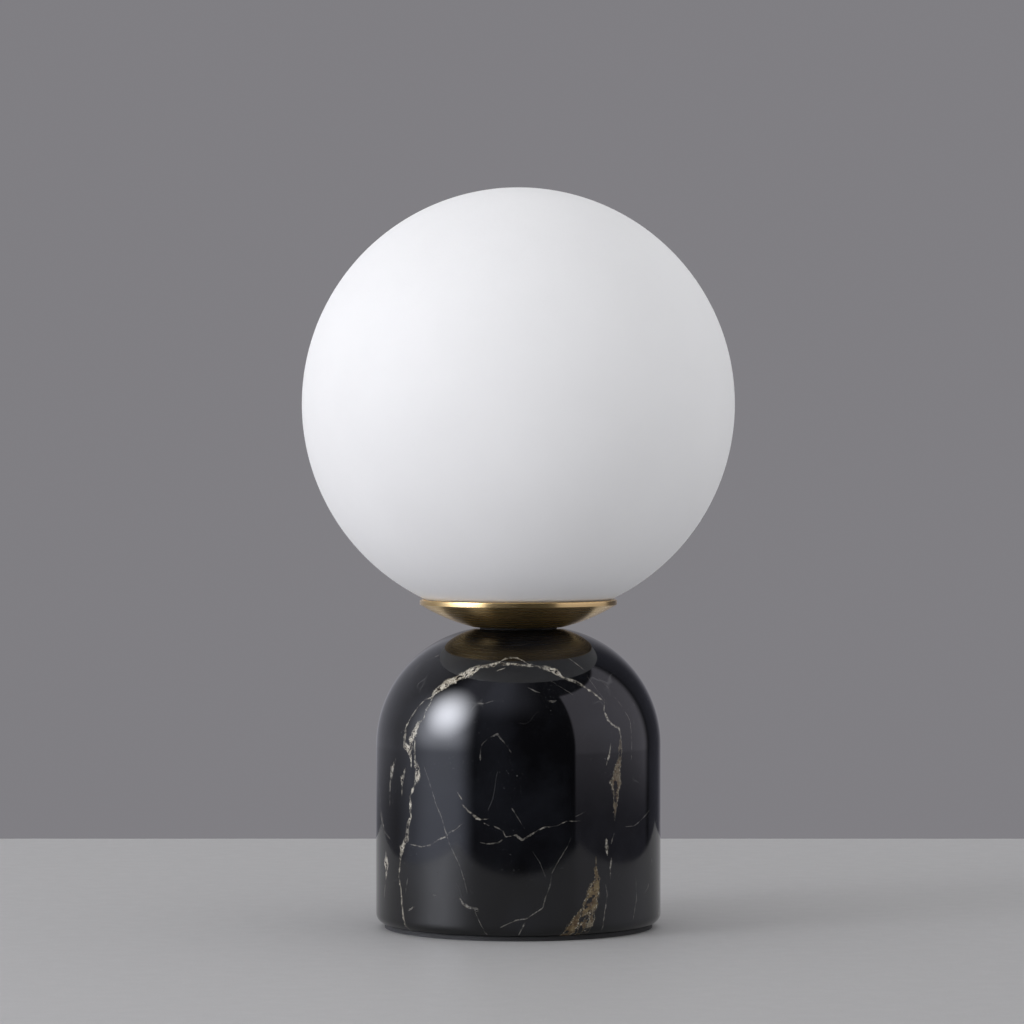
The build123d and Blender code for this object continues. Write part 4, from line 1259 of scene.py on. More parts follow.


# The second value of each vein is its tone: partly its own colour, partly painted light and shade,
# with veins on the left set brighter and those at the middle and the foot dimmer.
FRONT_VEINS = (
    Vein(Layer.MAIN, 1.04, (
        (-40, 84, 1.8), (-35.5, 87.5, 3.2), (-30, 90, 3.3), (-24, 93, 3.0), (-21, 95, 2.1),
        (-15, 96, 1.7), (-8, 96.5, 1.4), (3.5, 96, 1.2),
    )),
    Vein(Layer.MAIN, 0.75, (
        (3.5, 96, 1.2), (10.5, 95.5, 1.4), (14, 94.5, 1.9), (18, 93.5, 2.6), (21, 91, 1.8),
        (24.5, 89.5, 1.3), (31.5, 86.5, 1.3), (37.5, 82, 0.9), (39.5, 80.5, 0.5),
    )),
    Vein(Layer.CRACK, 0.55, (
        (39.5, 80.5, 0.5), (38, 77.5, 0.7), (39, 74.5, 1.3), (41, 72.5, 0.9), (44.5, 71, 0.7),
        (45, 68.5, 0.5), (44.8, 66.5, 0.4),
    )),
    Vein(Layer.MAIN, 1.6, (
        (44.5, 67, 1.2), (44.5, 64.5, 1.9), (44, 61, 2.1), (43, 58, 2.9), (42.3, 55.5, 4.3),
        (42, 53, 5.3), (42, 50.5, 4.0), (42, 48, 2.7), (41.7, 45, 2.0), (41.5, 42, 1.3),
        (41.3, 40, 0.5),
    )),
    Vein(Layer.MAIN, 1.9, (
        (32, 28, 0.5), (32, 23.5, 1.5), (32.5, 20.5, 2.6), (31.5, 17, 4.4), (30, 13, 5.4),
        (28, 10.5, 4.6), (25.8, 8.8, 1.6),
    )),
    Vein(Layer.BRANCH, 1.8, (
        (25.2, 10.5, 1.0), (23.3, 7.5, 2.6), (21, 4, 3.8), (18.5, 0.8, 3.2),
    )),
    Vein(Layer.CRACK, 1.7, (
        (28.5, 8.5, 1.4), (26.5, 5.5, 2.6), (24.5, 2.5, 2.2), (23.5, 0.5, 1.2),
    )),
    Vein(Layer.MAIN, 0.9, (
        (-45.5, 67, 0.6), (-45.5, 60.5, 1.1), (-44, 57.5, 2.2), (-44, 54, 2.6), (-45.5, 52, 1.1),
        (-48, 48, 1.3), (-48, 43, 1.2), (-47.5, 41, 0.8), (-49.5, 38.5, 1.7), (-50.5, 33, 1.9),
        (-53.5, 30, 2.5), (-54.5, 27, 1.4), (-55, 24, 1.0), (-55.5, 19.5, 0.9), (-54, 15.5, 1.0),
        (-53.5, 11, 0.9), (-52.5, 6.5, 1.3), (-50.5, 2, 1.6),
    )),
    Vein(Layer.BRANCH, 0.8, (
        (-39.5, 83.5, 0.8), (-41, 82, 0.8), (-44, 81.5, 0.9), (-46.5, 79, 0.7), (-50, 74.5, 0.6),
        (-52, 71, 1.0), (-52, 68, 1.3), (-52, 65.5, 2.0), (-49.5, 64, 2.8), (-47.8, 61.5, 1.7),
        (-47.5, 58, 0.6),
    )),
    Vein(Layer.CRACK, 0.85, (
        (-40, 84, 0.7), (-40.5, 80, 0.8), (-42, 77, 0.8), (-42, 74.5, 0.7), (-44.5, 73, 1.9),
        (-46, 70, 2.4), (-47.5, 67, 2.6), (-48, 63.5, 1.6),
    )),
    Vein(Layer.BRANCH, 0.9, (
        (-15, 96, 0.7), (-10, 97.5, 0.9), (-6.5, 99.5, 0.9), (-1, 99.5, 0.9), (2.5, 98, 0.7),
        (6, 96, 0.5),
    )),
    Vein(Layer.BRANCH, 0.7, ((-10.5, 93.5, 0.7), (-7, 94.7, 0.6))),
    Vein(Layer.BRANCH, 0.8, ((39.3, 66, 0.3), (38.5, 62.5, 0.7), (37, 59, 0.5))),
    Vein(Layer.BRANCH, 0.5, ((41, 35.5, 0.4), (39.5, 32.5, 0.7))),
    Vein(Layer.CRACK, 0.6, ((37, 33.5, 1.0), (37.3, 31, 1.5), (37.5, 28.5, 0.6))),
    Vein(Layer.BRANCH, 0.3, ((39.5, 27, 0.8), (39, 24, 0.8), (39, 20.5, 0.4))),
    Vein(Layer.BRANCH, 1.6, ((31, 10.5, 1.2), (30, 7.5, 2.8), (28.8, 4.5, 2.4), (27.6, 2, 1.4))),
    Vein(Layer.CRACK, 0.2, ((36.5, 18.5, 0.3), (37.5, 15, 0.6), (36, 8.5, 0.6), (35, 3, 0.7))),
    Vein(Layer.CRACK, 0.1, (
        (-40.5, 58.5, 0.3), (-38, 54, 0.35), (-35.5, 48.5, 0.35), (-34.5, 46, 0.4),
        (-32, 42, 0.4), (-30, 37, 0.45), (-27.5, 31.5, 0.4), (-24, 26, 0.4), (-22, 21.5, 0.35),
        (-20.5, 16.5, 0.25),
    )),
    Vein(Layer.CRACK, 0.1, ((-17.5, 10.5, 0.3), (-15, 6, 0.4), (-12.5, 2, 0.4))),
    Vein(Layer.BRANCH, 0.65, (
        (-48, 31.5, 0.3), (-41.5, 31, 0.45), (-36.5, 32, 0.6), (-33, 34, 0.7), (-30, 35, 0.8),
        (-29, 36, 0.7), (-25.5, 37.5, 0.6), (-22, 40, 0.4),
    )),
    Vein(Layer.BRANCH, 0.8, ((-25, 50.5, 0.35), (-22.7, 47.8, 0.5))),
    Vein(Layer.BRANCH, 0.85, (
        (-22.5, 46, 0.5), (-19.5, 43.5, 0.7), (-17, 42, 1.1), (-15, 41, 0.8), (-12, 41.5, 0.4),
    )),
    Vein(Layer.CRACK, 0.4, ((-13.5, 40, 0.5), (-11.8, 39.3, 0.5))),
    Vein(Layer.BRANCH, 0.45, (
        (-9.5, 39, 0.4), (-6, 37.5, 0.5), (-5, 35.5, 0.7), (-1, 36, 0.7), (1.5, 34.5, 0.9),
        (4.5, 36, 0.7), (8, 38, 0.6), (9.5, 38.5, 0.7), (15, 39, 0.5), (19, 40.5, 0.4),
        (25, 40.5, 0.3),
    )),
    Vein(Layer.CRACK, 0.2, ((23, 42, 0.3), (27, 43.5, 0.3))),
    Vein(Layer.CRACK, 0.4, (
        (-15, 33.5, 0.3), (-12.5, 33, 0.45), (-8, 33.5, 0.5), (-6.5, 34.5, 0.4),
    )),
    Vein(Layer.CRACK, 0.1, ((-2.5, 45, 0.4), (2.5, 38, 0.25))),
    Vein(Layer.CRACK, 0.2, (
        (21, 35, 0.25), (19.5, 32, 0.3), (16, 27.5, 0.35), (13, 23, 0.45), (12.5, 19, 0.4),
        (10.5, 15, 0.35), (9.5, 11.5, 0.45), (3, 8, 0.55), (-1, 7.5, 0.4), (-7, 5, 0.3),
    )),
    Vein(Layer.BRANCH, 0.2, ((2.5, 6.5, 0.5), (0, 2.5, 0.5))),
    Vein(Layer.BRANCH, 0.1, ((5.5, 30.5, 0.25), (8.5, 26.5, 0.3), (10.5, 22, 0.25))),
    Vein(Layer.CRACK, 0.1, (
        (-15, 61.5, 0.8), (-15, 64.5, 0.35), (-14.5, 66.5, 0.35), (-12, 68.5, 0.35),
        (-8.5, 70, 0.9), (-6.5, 68, 0.5), (-4, 65.5, 0.4), (-3, 64, 0.5),
    )),
    Vein(Layer.CRACK, 0.1, (
        (-18, 80.5, 0.4), (-14.5, 80.5, 0.5), (-11, 81.5, 0.5), (-6.5, 81.5, 0.3),
    )),
    Vein(Layer.CRACK, 0.1, ((4.5, 86.5, 0.5), (7.5, 85, 0.6), (9.5, 84.5, 0.3))),
    Vein(Layer.CRACK, 0.1, ((12.5, 81.5, 0.7), (14.5, 81.3, 1.1), (16, 81.5, 0.5))),
    Vein(Layer.CRACK, 0.3, ((29.5, 99, 0.35), (35, 93.5, 0.5))),
    Vein(Layer.CRACK, 0.1, ((15.5, 89, 0.2), (24.5, 83.5, 0.3))),
    Vein(Layer.BRANCH, 0.2, ((35, 90.5, 0.3), (37.5, 85, 0.35), (40, 81, 0.3))),
    Vein(Layer.BRANCH, 0.1, ((41.5, 89.5, 0.3), (45, 85.5, 0.3))),
    Vein(Layer.CRACK, 0.1, (
        (46.5, 82, 0.25), (49.5, 78, 0.3), (52, 73.5, 0.3), (51.5, 67.5, 0.35), (51, 60, 0.25),
    )),
    Vein(Layer.CRACK, 0.1, ((-64, 95, 0.4), (-63.5, 88, 0.3))),
    Vein(Layer.CRACK, 0.3, ((-50.5, 106, 0.6), (-45.5, 107.5, 0.7))),
    Vein(Layer.CRACK, 0.1, ((-57.5, 98, 0.3), (-53, 100, 0.4))),
    Vein(Layer.CRACK, 0.1, ((-24, 15, 0.5), (-22, 12.5, 0.9), (-20, 11.5, 1.0), (-16, 11, 0.8))),
    Vein(Layer.BRANCH, 0.3, (
        (-58, 60, 0.6), (-60.5, 57, 2.8), (-62.5, 51.5, 1.1), (-63, 44, 0.5),
    )),
    Vein(Layer.BRANCH, 0.3, (
        (-74.5, 42, 1.6), (-71, 38.5, 1.9), (-68.5, 34.5, 0.9), (-63, 32.5, 0.6),
    )),
    Vein(Layer.BRANCH, 0.45, (
        (-67, 27.5, 1.0), (-66.5, 24, 3.8), (-66.5, 20, 1.2), (-69, 12, 0.6),
    )),
    Vein(Layer.CRACK, 0.1, ((-49.5, 20.5, 0.4), (-51, 15, 0.4))),
    Vein(Layer.CRACK, 0.2, ((-49, 9, 0.7), (-45.5, 10.5, 0.6))),
    Vein(Layer.BRANCH, 0.7, ((-51.5, 56.5, 1.4), (-53, 53.5, 2.0), (-53.5, 48, 0.6))),
    Vein(Layer.CRACK, 0.1, ((47.5, 37.5, 0.4), (53, 37.5, 0.4), (56, 38.5, 0.3), (65, 42, 0.4))),
    Vein(Layer.CRACK, 0.1, ((54, 20, 0.3), (54.5, 12.5, 0.4), (52, 5, 0.4))),
    Vein(Layer.CRACK, 0.1, ((-35.3, 15, 0.8), (-34.7, 15.2, 0.8))),
    Vein(Layer.CRACK, 0.1, ((-64.8, 66.5, 0.8), (-64, 66.5, 0.8))),
    Vein(Layer.CRACK, 0.1, ((73.5, 37.5, 0.9), (74.5, 37.8, 0.9))),
)
ROUND_VEINS = (
    Vein(Layer.MAIN, 1.0, (
        (78, 2, 1.2), (84, 18, 1.8), (80, 34, 0.8), (88, 52, 2.4), (97, 66, 1.2), (110, 80, 1.0),
        (128, 90, 1.6), (146, 95, 1.1), (163, 91, 0.8), (172, 80, 1.6), (170, 62, 1.0),
        (178, 44, 2.6), (188, 30, 3.6), (192, 14, 1.4), (190, 2, 2.2),
    )),
    Vein(Layer.MAIN, 0.8, (
        (232, 2, 1.4), (228, 20, 0.9), (236, 38, 1.3), (229, 55, 0.7), (240, 72, 1.5),
        (254, 84, 0.9), (268, 92, 0.8), (279, 97, 0.5),
    )),
    Vein(Layer.BRANCH, 0.5, (
        (88, 52, 0.5), (99, 47, 0.7), (112, 50, 0.5), (124, 43, 0.8), (139, 45, 0.4),
        (152, 38, 0.6), (166, 40, 0.3),
    )),
    Vein(Layer.BRANCH, 0.8, (
        (190, 33, 0.6), (203, 36, 0.9), (214, 31, 0.6), (226, 35, 0.8),
    )),
    Vein(Layer.BRANCH, 0.7, (
        (128, 90, 0.6), (133, 78, 0.8), (129, 66, 0.5), (136, 56, 0.4),
    )),
    Vein(Layer.CRACK, 0.1, (
        (103, 30, 0.3), (115, 22, 0.45), (131, 17, 0.4), (146, 9, 0.5), (158, 3, 0.3),
    )),
    Vein(Layer.CRACK, 0.1, (
        (205, 70, 0.3), (212, 58, 0.45), (221, 47, 0.4), (224, 38, 0.3),
    )),
    Vein(Layer.CRACK, 0.2, (
        (246, 60, 0.3), (256, 49, 0.5), (263, 36, 0.5), (276, 27, 0.4), (284, 14, 0.5),
    )),
    Vein(Layer.BRANCH, 0.3, (
        (262, 70, 0.5), (274, 62, 0.6), (281, 50, 0.4), (286, 44, 0.5),
    )),
    Vein(Layer.CRACK, 0.2, ((150, 74, 0.5), (158, 70, 0.9), (164, 72, 0.5))),
    Vein(Layer.CRACK, 0.1, ((96, 86, 0.3), (106, 93, 0.5), (118, 97, 0.3))),
    Vein(Layer.CRACK, 0.1, ((196, 84, 0.4), (210, 88, 0.6), (222, 84, 0.3))),
    Vein(Layer.CRACK, 0.1, ((84, 60, 0.3), (91, 70, 0.4), (94, 80, 0.35), (101, 90, 0.3))),
    Vein(Layer.CRACK, 0.1, ((61, 14, 0.4), (68, 24, 0.4), (70, 30, 0.3))),
)


@dataclass
class StoneBase:
    """Stone cylinder whose side turns over into a dome, hollow for the wiring."""

    shoulder_radius: float = 40.9 * MM
    landing_radius: float = 15.4 * MM
    foot_round: float = 3.5 * MM
    hollow_radius: float = 30.0 * MM
    bore_clearance: float = 0.3 * MM
    slip: float = 0.05 * MM
    bush_step: float = 1.8 * MM
    bush_flange: float = 1.2 * MM
    pitch: float = 0.62 * MM
    steps: int = 440
    hole_steps: int = 72
    gather: float = 0.35
    vein_far: float = 9.0
    vein_reach: float = 0.9
    vein_fade: float = 0.6
    vein_void: float = 0.6
    vein_taper: float = 0.6
    crinkle: float = 0.16
    swell: float = 0.35
    degree_run: float = 0.8
    seed: int = 7

    def __post_init__(self) -> None:
        """Reads the sizes that the frame already holds."""
        low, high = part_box("marble_base")
        self.radius = high.x
        self.bottom = low.z
        self.top = high.z
        self.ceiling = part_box("base_washer")[1].z
        self.cover_radius = reach("cover_plate") + self.slip
        self.cover_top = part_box("cover_plate")[1].z
        self.bore = reach("threaded_tube") + self.bore_clearance
        across = self.landing_radius - (self.radius - self.shoulder_radius)
        self.shoulder = self.top - math.sqrt(self.shoulder_radius**2 - across**2)
        self.landing_angle = math.degrees(math.acos(across / self.shoulder_radius))

    def profile(self) -> Profile:
        """Its half section, from the hollow round the outside to the bore.

        Returns:
            The closed profile.
        """
        section = Profile(self.pitch)
        section.start(self.bore, self.ceiling)
        section.line(self.hollow_radius, self.ceiling, fine=False)
        section.line(self.hollow_radius, self.cover_top, fine=False)
        section.line(self.cover_radius, self.cover_top, fine=False)
        section.line(self.cover_radius, self.bottom, fine=False)
        section.line(self.radius - self.foot_round, self.bottom, fine=False)
        foot = (self.radius - self.foot_round, self.bottom + self.foot_round)
        section.arc(foot, self.foot_round, -90.0, 0.0, worn=0.5)
        section.line(self.radius, self.shoulder)
        middle = (self.radius - self.shoulder_radius, self.shoulder)
        section.arc(middle, self.shoulder_radius, 0.0, self.landing_angle)
        section.line(self.bore, self.top, fine=False)
        section.close()
        return section

    def cord_hole(self) -> bpy.types.Object:
        """The bar that cuts the cord's hole, stepped for the bush's flange.

        Returns:
            The bar, from inside the hollow to beyond the rear.
        """
        bush_low, bush_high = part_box("cord_inlet_bush")
        wide = (bush_high.x - bush_low.x) / 2 + self.slip
        narrow = wide - self.bush_step
        margin = (self.radius - self.hollow_radius) / 2
        inner, outer = self.hollow_radius - margin, self.radius + margin
        seat = bush_high.y - self.bush_flange
        bar = Profile(self.pitch)
        bar.start(0.0, inner)
        bar.line(narrow, inner, fine=False)
        bar.line(narrow, seat, fine=False)
        bar.line(wide, seat, fine=False)
        bar.line(wide, outer, fine=False)
        bar.line(0.0, outer, fine=False)
        hole = turned_piece("cord_hole", bar, self.hole_steps, STONE)
        lifted = Matrix.Translation((0.0, 0.0, (bush_low.z + bush_high.z) / 2))
        hole.data.transform(lifted @ Matrix.Rotation(-FULL_TURN / 4, 4, "X"))
        return hole

    def pierce(self, stone: bpy.types.Object) -> None:
        """Cuts the cord's hole out of the stone.

        Args:
            stone: the turned stone.
        """
        cutter = self.cord_hole()
        cut = stone.modifiers.new("cut", "BOOLEAN")
        cut.operation = "DIFFERENCE"
        cut.solver = "EXACT"
        cut.object = cutter
        mesh = plain_mesh(stone, stone.name)
        stone.modifiers.remove(cut)
        stone.data = mesh
        bpy.data.objects.remove(cutter)
        stone.data.set_sharp_from_angle(angle=SHARP_ANGLE)

    def unrolled(self, places: np.ndarray) -> tuple[np.ndarray, np.ndarray, np.ndarray]:
        """Where points lie on the stone's face.

        Args:
            places: their coordinates in metres.

        Returns:
            Their angles round from the front in degrees, and in millimetres their
            distances up the face and off the axis.
        """
        angle = np.degrees(np.arctan2(places[:, 0], -places[:, 1]))
        off = np.hypot(places[:, 0], places[:, 1])
        over = np.arctan2(places[:, 2] - self.shoulder, off - (self.radius - self.shoulder_radius))
        up = np.where(
            places[:, 2] <= self.shoulder, places[:, 2], self.shoulder + self.shoulder_radius * over
        )
        return angle, up * MM_PER_METRE, off * MM_PER_METRE

    def crinkled(self, vein: Vein, draw: np.random.Generator) -> list[tuple[float, float, float]]:
        """A coarse vein with uneven points put between its own.

        Args:
            vein: the vein.
            draw: the source of chance.

        Returns:
            Its points.
        """
        points = [tuple(map(float, point)) for point in vein.path]
        for _ in range(2):
            finer = [points[0]]
            for (a0, s0, w0), (a1, s1, w1) in zip(points, points[1:]):
                across = (a1 - a0) * self.degree_run
                run = math.hypot(across, s1 - s0)
                side = draw.normal(0.0, self.crinkle) * run
                swell = float(np.exp(draw.normal(0.0, self.swell)))
                middle = (
                    (a0 + a1) / 2 - side * (s1 - s0) / max(run, 1.0),
                    (s0 + s1) / 2 + side * across / max(run, 1.0),
                    (w0 + w1) / 2 * swell,
                )
                finer += [middle, (a1, s1, w1)]
            points = finer
        return points

    def vein_field(self, layer: Layer, places: np.ndarray) -> np.ndarray:
        """The field of one layer of veins at the given places.

        Args:
            layer: the layer.
            places: coordinates in metres.

        Returns:
            For each place the distance to the nearest vein's middle, with a sign for its
            side, the half width there and its tone, which is how golden it is together with
            painted light and shade by where the vein lies.
        """
        draw = np.random.default_rng(self.seed + list(Layer).index(layer))
        angle, up, off = self.unrolled(places)
        found = np.tile(np.array([self.vein_far, -1.0, 0.0]), (len(places), 1))
        nearest = np.full(len(places), self.vein_far)
        lines = [(vein, list(vein.path)) for vein in FRONT_VEINS if vein.layer is layer]
        lines += [(vein, self.crinkled(vein, draw)) for vein in ROUND_VEINS if vein.layer is layer]
        for vein, points in lines:
            last = len(points) - 2
            for number, ((a0, s0, w0), (a1, s1, w1)) in enumerate(zip(points, points[1:])):
                arc = off * FULL_TURN / 360
                x = ((angle - a0 + 180) % 360 - 180) * arc
                y = up - s0
                run_x = (a1 - a0) * arc
                run_y = s1 - s0
                length = np.maximum(np.hypot(run_x, run_y), TINY)
                share = (x * run_x + y * run_y) / length**2
                held = np.clip(share, 0.0, 1.0)
                gap = np.hypot(x - held * run_x, y - held * run_y)
                side = (run_x * y - run_y * x) / length
                before = (share < 0) & (number == 0)
                after = (share > 1) & (number == last)
                ended = before | after
                signed = np.where(ended, side, np.sign(side) * gap)
                half = (w0 + (w1 - w0) * held) / 2
                past = np.where(ended, np.sqrt(np.maximum(gap**2 - side**2, 0.0)), 0.0)
                fade = (np.abs(gap) - half - self.vein_reach) / self.vein_fade
                thinned = np.clip(fade, 0.0, 1.0) * (half + self.vein_void)
                half = half - thinned - past * self.vein_taper
                edge = gap - np.maximum(half, 0)
                closer = edge < nearest
                nearest = np.where(closer, edge, nearest)
                found[closer, 0] = signed[closer]
                found[closer, 1] = half[closer]
                # The tone, which also carries painted light and shade by the vein's place.
                found[closer, 2] = vein.gold_and_shade
        found[:, 0] = np.clip(found[:, 0], -self.vein_far, self.vein_far)
        return found

    def draw_veins(self, stone: bpy.types.Object) -> None:
        """Writes the veins' fields on the stone as attributes.

        Args:
            stone: the finished stone mesh.
        """
        mesh = stone.data
        flat = np.zeros(len(mesh.vertices) * 3)
        mesh.vertices.foreach_get("co", flat)
        places = flat.reshape(-1, 3)
        for layer in Layer:
            values = self.vein_field(layer, places).astype(np.float32)
            written = mesh.attributes.new(layer.value, "FLOAT_VECTOR", "POINT")
            written.data.foreach_set("vector", values.ravel())

    def build(self) -> None:
        """Turns, pierces and veins the stone, and dresses what is fixed in it."""
        stone = turned_piece("stone_dome", self.profile(), self.steps, STONE, self.gather)
        self.pierce(stone)
        self.draw_veins(stone)
        settle(stone, "base", "black_marble", "marble_base")
        carry({
            "base_pad": PAD,
            "cover_plate": ZINC,
            "cover_screws": ZINC,
            "cover_anchors": TURNED_BRASS,
            "cord_inlet_bush": BLACK_PLASTIC,
        })


# ---- Inner pieces ---------------------------------------------------------------------------
@dataclass
class Wiring:
    """Terminal block and leads in the stone's hollow, and up the tube."""

    def build(self) -> None:
        """Dresses them."""
        carry({
            "terminal_block": WHITE_PLASTIC,
            "terminal_barrels": TURNED_BRASS,
            "terminal_screws": ZINC,
            "live_lead": LEAD_BROWN,
            "neutral_lead": LEAD_BLUE,
            "earth_lead": LEAD_GREEN,
            "earth_tag": TURNED_BRASS,
        })


@dataclass
class Clamp:
    """Threaded tube on the axis, with the nuts and washers that clamp stone and dish."""

    def build(self) -> None:
        """Dresses them."""
        carry({
            "base_washer": ZINC,
            "lock_washer": ZINC,
            "base_nut": ZINC,
            "threaded_tube": ZINC,
            "tube_bushes": WHITE_PLASTIC,
            "gallery_washer": ZINC,
            "gallery_nut": ZINC,
            "holder_nut": ZINC,
        })


@dataclass
class Gallery:
    """Cup and ring in the dish that carry the globe."""

    def build(self) -> None:
        """Dresses them."""
        carry({"gallery_collar": TURNED_BRASS, "globe_seal": SILICONE})


@dataclass
class LampHolder:
    """Ceramic holder on its bracket, with the contacts for the bulb's pins."""

    def build(self) -> None:
        """Dresses it."""
        carry({
            "holder_bracket": ZINC,
            "holder_body": STEATITE,
            "holder_contacts": NICKEL,
            "holder_screws": ZINC,
        })


@dataclass
class CapsuleBulb:
    """Frosted capsule on a ceramic cap, over a column of light chips."""

    def build(self) -> None:
        """Dresses it."""
        carry({
            "bulb_cap": BULB_CERAMIC,
            "bulb_pins": NICKEL,
            "bulb_envelope": FROSTED,
            "bulb_core": PHOSPHOR,
        })


# ---- Studio ---------------------------------------------------------------------------------
def direction(turn: float, height: float) -> Vector:
    """The way from the lamp to something around it.

    Args:
        turn: its degrees round from the front, to the lamp's right.
        height: its degrees above the horizon.

    Returns:
        The way, of length 1.
    """
    around = math.radians(turn)
    above = math.radians(height)
    flat = math.cos(above)
    return Vector((math.sin(around) * flat, -math.cos(around) * flat, math.sin(above)))


@dataclass(frozen=True)
class SoftLight:
    """A soft round light aimed at the lamp, which mirrors do not show."""

    name: str
    turn: float
    height: float
    distance: float
    size: float
    radiance: float
    colour: Colour

    def build(self, aim: Vector) -> None:
        """Makes the light.

        Args:
            aim: the point that it faces.
        """
        data = bpy.data.lights.new(self.name, "AREA")
        data.shape = "DISK"
        data.size = self.size
        data.energy = self.radiance * math.pi * math.pi * (self.size / 2) ** 2
        data.color = self.colour
        light = bpy.data.objects.new(self.name, data)
        way = direction(self.turn, self.height)
        light.location = aim + way * self.distance
        light.rotation_euler = way.to_track_quat("Z", "Y").to_euler()
        light.visible_camera = False
        light.visible_glossy = False
        bpy.context.scene.collection.objects.link(light)


@dataclass(frozen=True)
class Window:
    """A bright area that polished surfaces mirror, bounded by turn and height.

    Each bound is the pair of angles between which its edge goes from dark to bright, or
    from bright to dark. A turn of 0 faces the front, and 90 is to the lamp's right.
    """

    left: tuple[float, float]
    right: tuple[float, float]
    low: tuple[float, float]
    high: tuple[float, float]
    colour: Colour

    def shape(
        self, board: Board, turn: bpy.types.NodeSocket, height: bpy.types.NodeSocket
    ) -> bpy.types.NodeSocket:
        """Adds the window.

        Args:
            board: the surroundings' board.
            turn: the ray's turn in degrees.
            height: its height in degrees.

        Returns:
            How much of the window it meets.
        """
        across = board.math(
            "MULTIPLY",
            board.span(turn, *self.left, smooth=True),
            board.span(turn, *self.right, 1.0, 0.0, smooth=True),
        )
        upward = board.math(
            "MULTIPLY",
            board.span(height, *self.low, smooth=True),
            board.span(height, *self.high, 1.0, 0.0, smooth=True),
        )
        return board.math("MULTIPLY", across, upward)


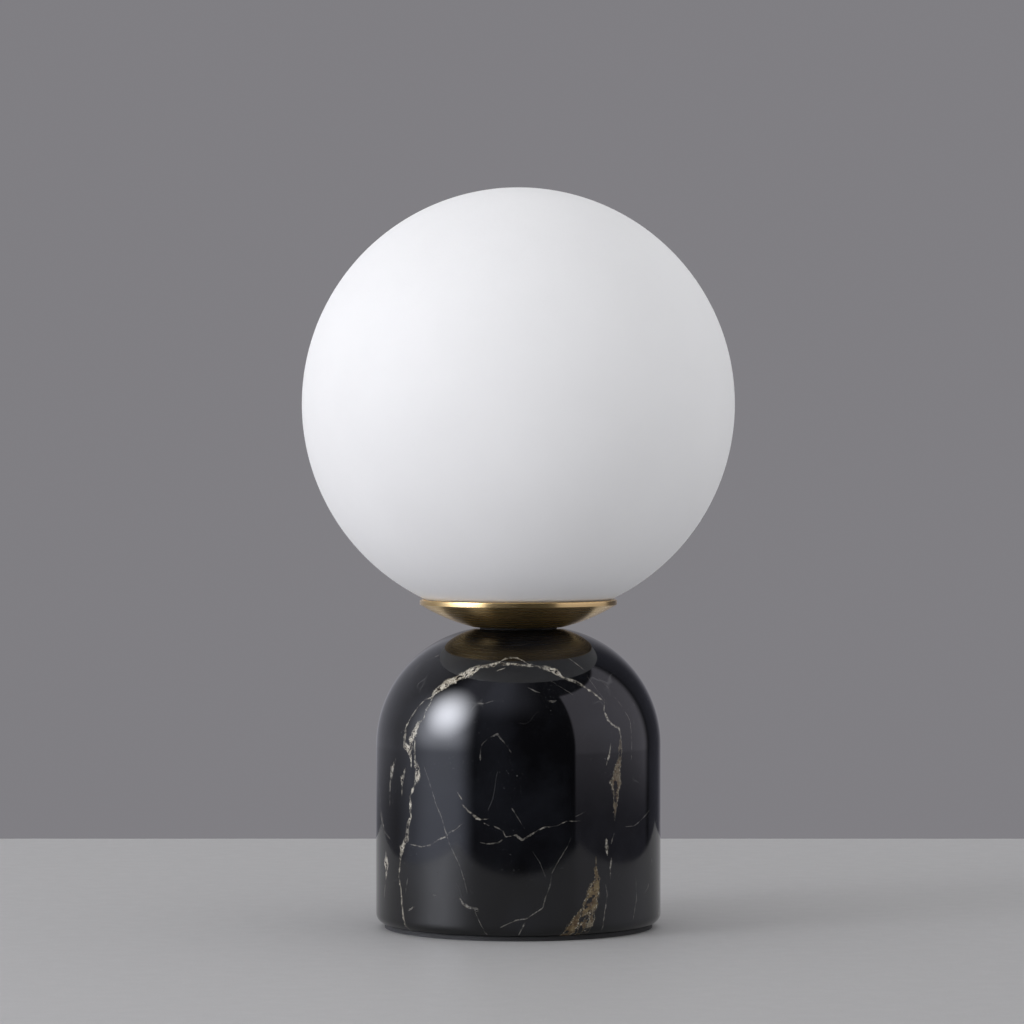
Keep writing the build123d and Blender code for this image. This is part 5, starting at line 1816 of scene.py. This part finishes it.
@dataclass
class Studio:
    """Plain pale floor, plain surroundings and soft light from the upper left."""

    floor_colour: Colour = (0.44, 0.437, 0.442)
    wall_colour: Colour = (0.215, 0.21, 0.225)
    ambient: float = 0.695
    ambient_top: float = 0.90
    room_colour: Colour = (0.020, 0.020, 0.024)
    room_left: tuple[float, float] = (-178.0, -160.0)
    room_right: tuple[float, float] = (150.0, 176.0)
    windows: tuple[Window, ...] = (
        Window((-118, -68), (-52, -34), (-60, -50), (20, 44), (1.0, 1.06, 1.30)),
        Window((-104, -72), (-60, -34), (-8, 14), (20, 50), (4.0, 4.1, 4.5)),
        Window((-176, -168), (-100, -92), (-5.0, -3.5), (50, 60), (0.34, 0.34, 0.38)),
        Window((-176, -168), (-100, -92), (-60, -50), (-5.0, -3.5), (0.14, 0.14, 0.16)),
        Window((-44, -30), (-20, 4), (-30, 25), (60, 75), (0.13, 0.14, 0.18)),
        Window((-90, -60), (-20, 36), (24, 50), (80, 90), (0.40, 0.41, 0.50)),
        Window((45.5, 47.5), (121, 131), (-5.0, -3.5), (47.5, 49.5), (0.54, 0.52, 0.59)),
        Window((45.5, 47.5), (90, 131), (-18, 24), (47.5, 49.5), (0.24, 0.23, 0.27)),
        Window((45.5, 47.5), (122, 129), (-60, -50), (-5.0, -3.5), (0.06, 0.06, 0.08)),
        Window((128, 134), (170, 178), (-60, -50), (60, 80), (0.05, 0.05, 0.065)),
    )
    glow_turn: float = -65.5
    glow_height: float = 28.9
    glow_reach: float = 25.0
    glow_colour: Colour = (13.4, 13.7, 14.8)
    key: SoftLight = SoftLight("key_light", -56.0, 10.0, 1.25, 0.6, 6.2, (0.98, 0.98, 1.0))
    floor_half_width: float = 0.30
    floor_front: float = 0.28
    floor_back: float = 0.34
    floor_thickness: float = 0.018
    floor_softening: float = 2 * MM
    floor_edge_steps: int = 3
    aim: tuple[float, float, float] = (0.0, 0.0, 0.14)

    def floor(self) -> None:
        """Makes the table top, a board with softened edges."""
        mesh = bpy.data.meshes.new("floor")
        corners = [
            (x, y, z)
            for z in (-self.floor_thickness, 0.0)
            for x, y in (
                (-self.floor_half_width, -self.floor_front),
                (self.floor_half_width, -self.floor_front),
                (self.floor_half_width, self.floor_back),
                (-self.floor_half_width, self.floor_back),
            )
        ]
        faces = [(3, 2, 1, 0), (4, 5, 6, 7), (0, 1, 5, 4), (1, 2, 6, 5), (2, 3, 7, 6), (3, 0, 4, 7)]
        mesh.from_pydata(corners, [], faces)
        floor = linked("floor", mesh)
        soften = floor.modifiers.new("soften", "BEVEL")
        soften.width = self.floor_softening
        soften.segments = self.floor_edge_steps
        pale = Finish("pale_table", self.floor_colour, 0.5, grain=0.02, relief=0.01, dust=0.0)
        mesh.materials.append(pale.material())
        floor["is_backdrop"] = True

    def world(self) -> None:
        """Makes the surroundings.

        Cameras see a plain wall. Polished surfaces mirror a dark room with the wall
        behind the lamp, soft windows at its sides and the lamp light's glow. What falls on
        the lamp from all round is plain and even.
        """
        world = bpy.data.worlds.new("studio")
        bpy.context.scene.world = world
        world.use_nodes = True
        world.node_tree.nodes.clear()
        board = Board(world.node_tree)
        rays = board.add("ShaderNodeLightPath")
        way = board.add("ShaderNodeTexCoord").outputs["Generated"]
        apart = board.add("ShaderNodeSeparateXYZ", {0: way})
        turn = board.math("ARCTAN2", apart.outputs[0], board.math("MULTIPLY", apart.outputs[1], -1.0))
        turn = board.math("DEGREES", turn)
        height = board.math("DEGREES", board.math("ARCSINE", apart.outputs[2]))
        dark = board.math(
            "MULTIPLY",
            board.span(turn, *self.room_left, smooth=True),
            board.span(turn, *self.room_right, 1.0, 0.0, smooth=True),
        )
        mirrored = board.blend(dark, self.wall_colour, self.room_colour)
        for window in self.windows:
            shape = window.shape(board, turn, height)
            mirrored = board.blend(shape, mirrored, window.colour, mode="ADD")
        glow = tuple(direction(self.glow_turn, self.glow_height))
        near = board.add("ShaderNodeVectorMath", {0: way, 1: glow}, operation="DOT_PRODUCT")
        off_glow = board.math("DEGREES", board.math("ARCCOSINE", near.outputs["Value"]))
        core = board.span(off_glow, 0.0, self.glow_reach, 1.0, 0.0, smooth=True)
        mirrored = board.blend(core, mirrored, self.glow_colour, mode="ADD")
        seen = board.blend(rays.outputs["Is Glossy Ray"], self.wall_colour, mirrored)
        shown = board.math("MAXIMUM", rays.outputs["Is Camera Ray"], rays.outputs["Is Glossy Ray"])
        shown = board.math("MAXIMUM", shown, rays.outputs["Is Transmission Ray"])
        even = board.span(apart.outputs[2], 0.0, 1.0, self.ambient, self.ambient_top)
        sky = board.add("ShaderNodeBackground")
        board.feed(sky.inputs["Color"], board.blend(shown, even, seen))
        board.add("ShaderNodeOutputWorld", {"Surface": sky.outputs[0]})

    def build(self) -> None:
        """Makes the floor, the surroundings and the light."""
        self.floor()
        self.world()
        self.key.build(Vector(self.aim))
        bpy.context.scene.view_settings.view_transform = "Standard"


@dataclass
class PhotoCamera:
    """Camera at the photograph's viewing angle, in front of the lamp and nearly level."""

    lens: float = 149.29
    sensor: float = 36.0
    distance: float = 1.4734
    height: float = 0.16313
    aside: float = -2.2 * MM
    pitch_down: float = 0.747
    near: float = 0.05
    far: float = 50.0

    def build(self) -> None:
        """Makes the camera and gives it to the scene."""
        data = bpy.data.cameras.new("photo_camera")
        data.lens = self.lens
        data.sensor_width = self.sensor
        data.clip_start = self.near
        data.clip_end = self.far
        camera = bpy.data.objects.new("photo_camera", data)
        camera.location = (self.aside, -self.distance, self.height)
        camera.rotation_euler = (math.radians(90.0 - self.pitch_down), 0.0, 0.0)
        bpy.context.scene.collection.objects.link(camera)
        bpy.context.scene.camera = camera


def write_sizes() -> None:
    """Gathers the box of the solids and that of what is shown, without writing them anywhere."""
    boxes = {
        name: [list(corner) for corner in box]
        for name, box in (("cad", CAD_BOX), ("visual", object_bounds()))
    }


def main() -> None:
    """Builds the lamp from the table up, then the studio and the camera."""
    logging.basicConfig(level=logging.INFO, format="%(name)s: %(message)s")
    for part in (
        StoneBase(),
        Wiring(),
        Clamp(),
        SpunDish(),
        Gallery(),
        GlassGlobe(),
        LampHolder(),
        CapsuleBulb(),
        Studio(),
        PhotoCamera(),
    ):
        part.build()
        LOG.info("%s done", type(part).__name__)
    write_sizes()


if __name__ == "__main__":
    main()
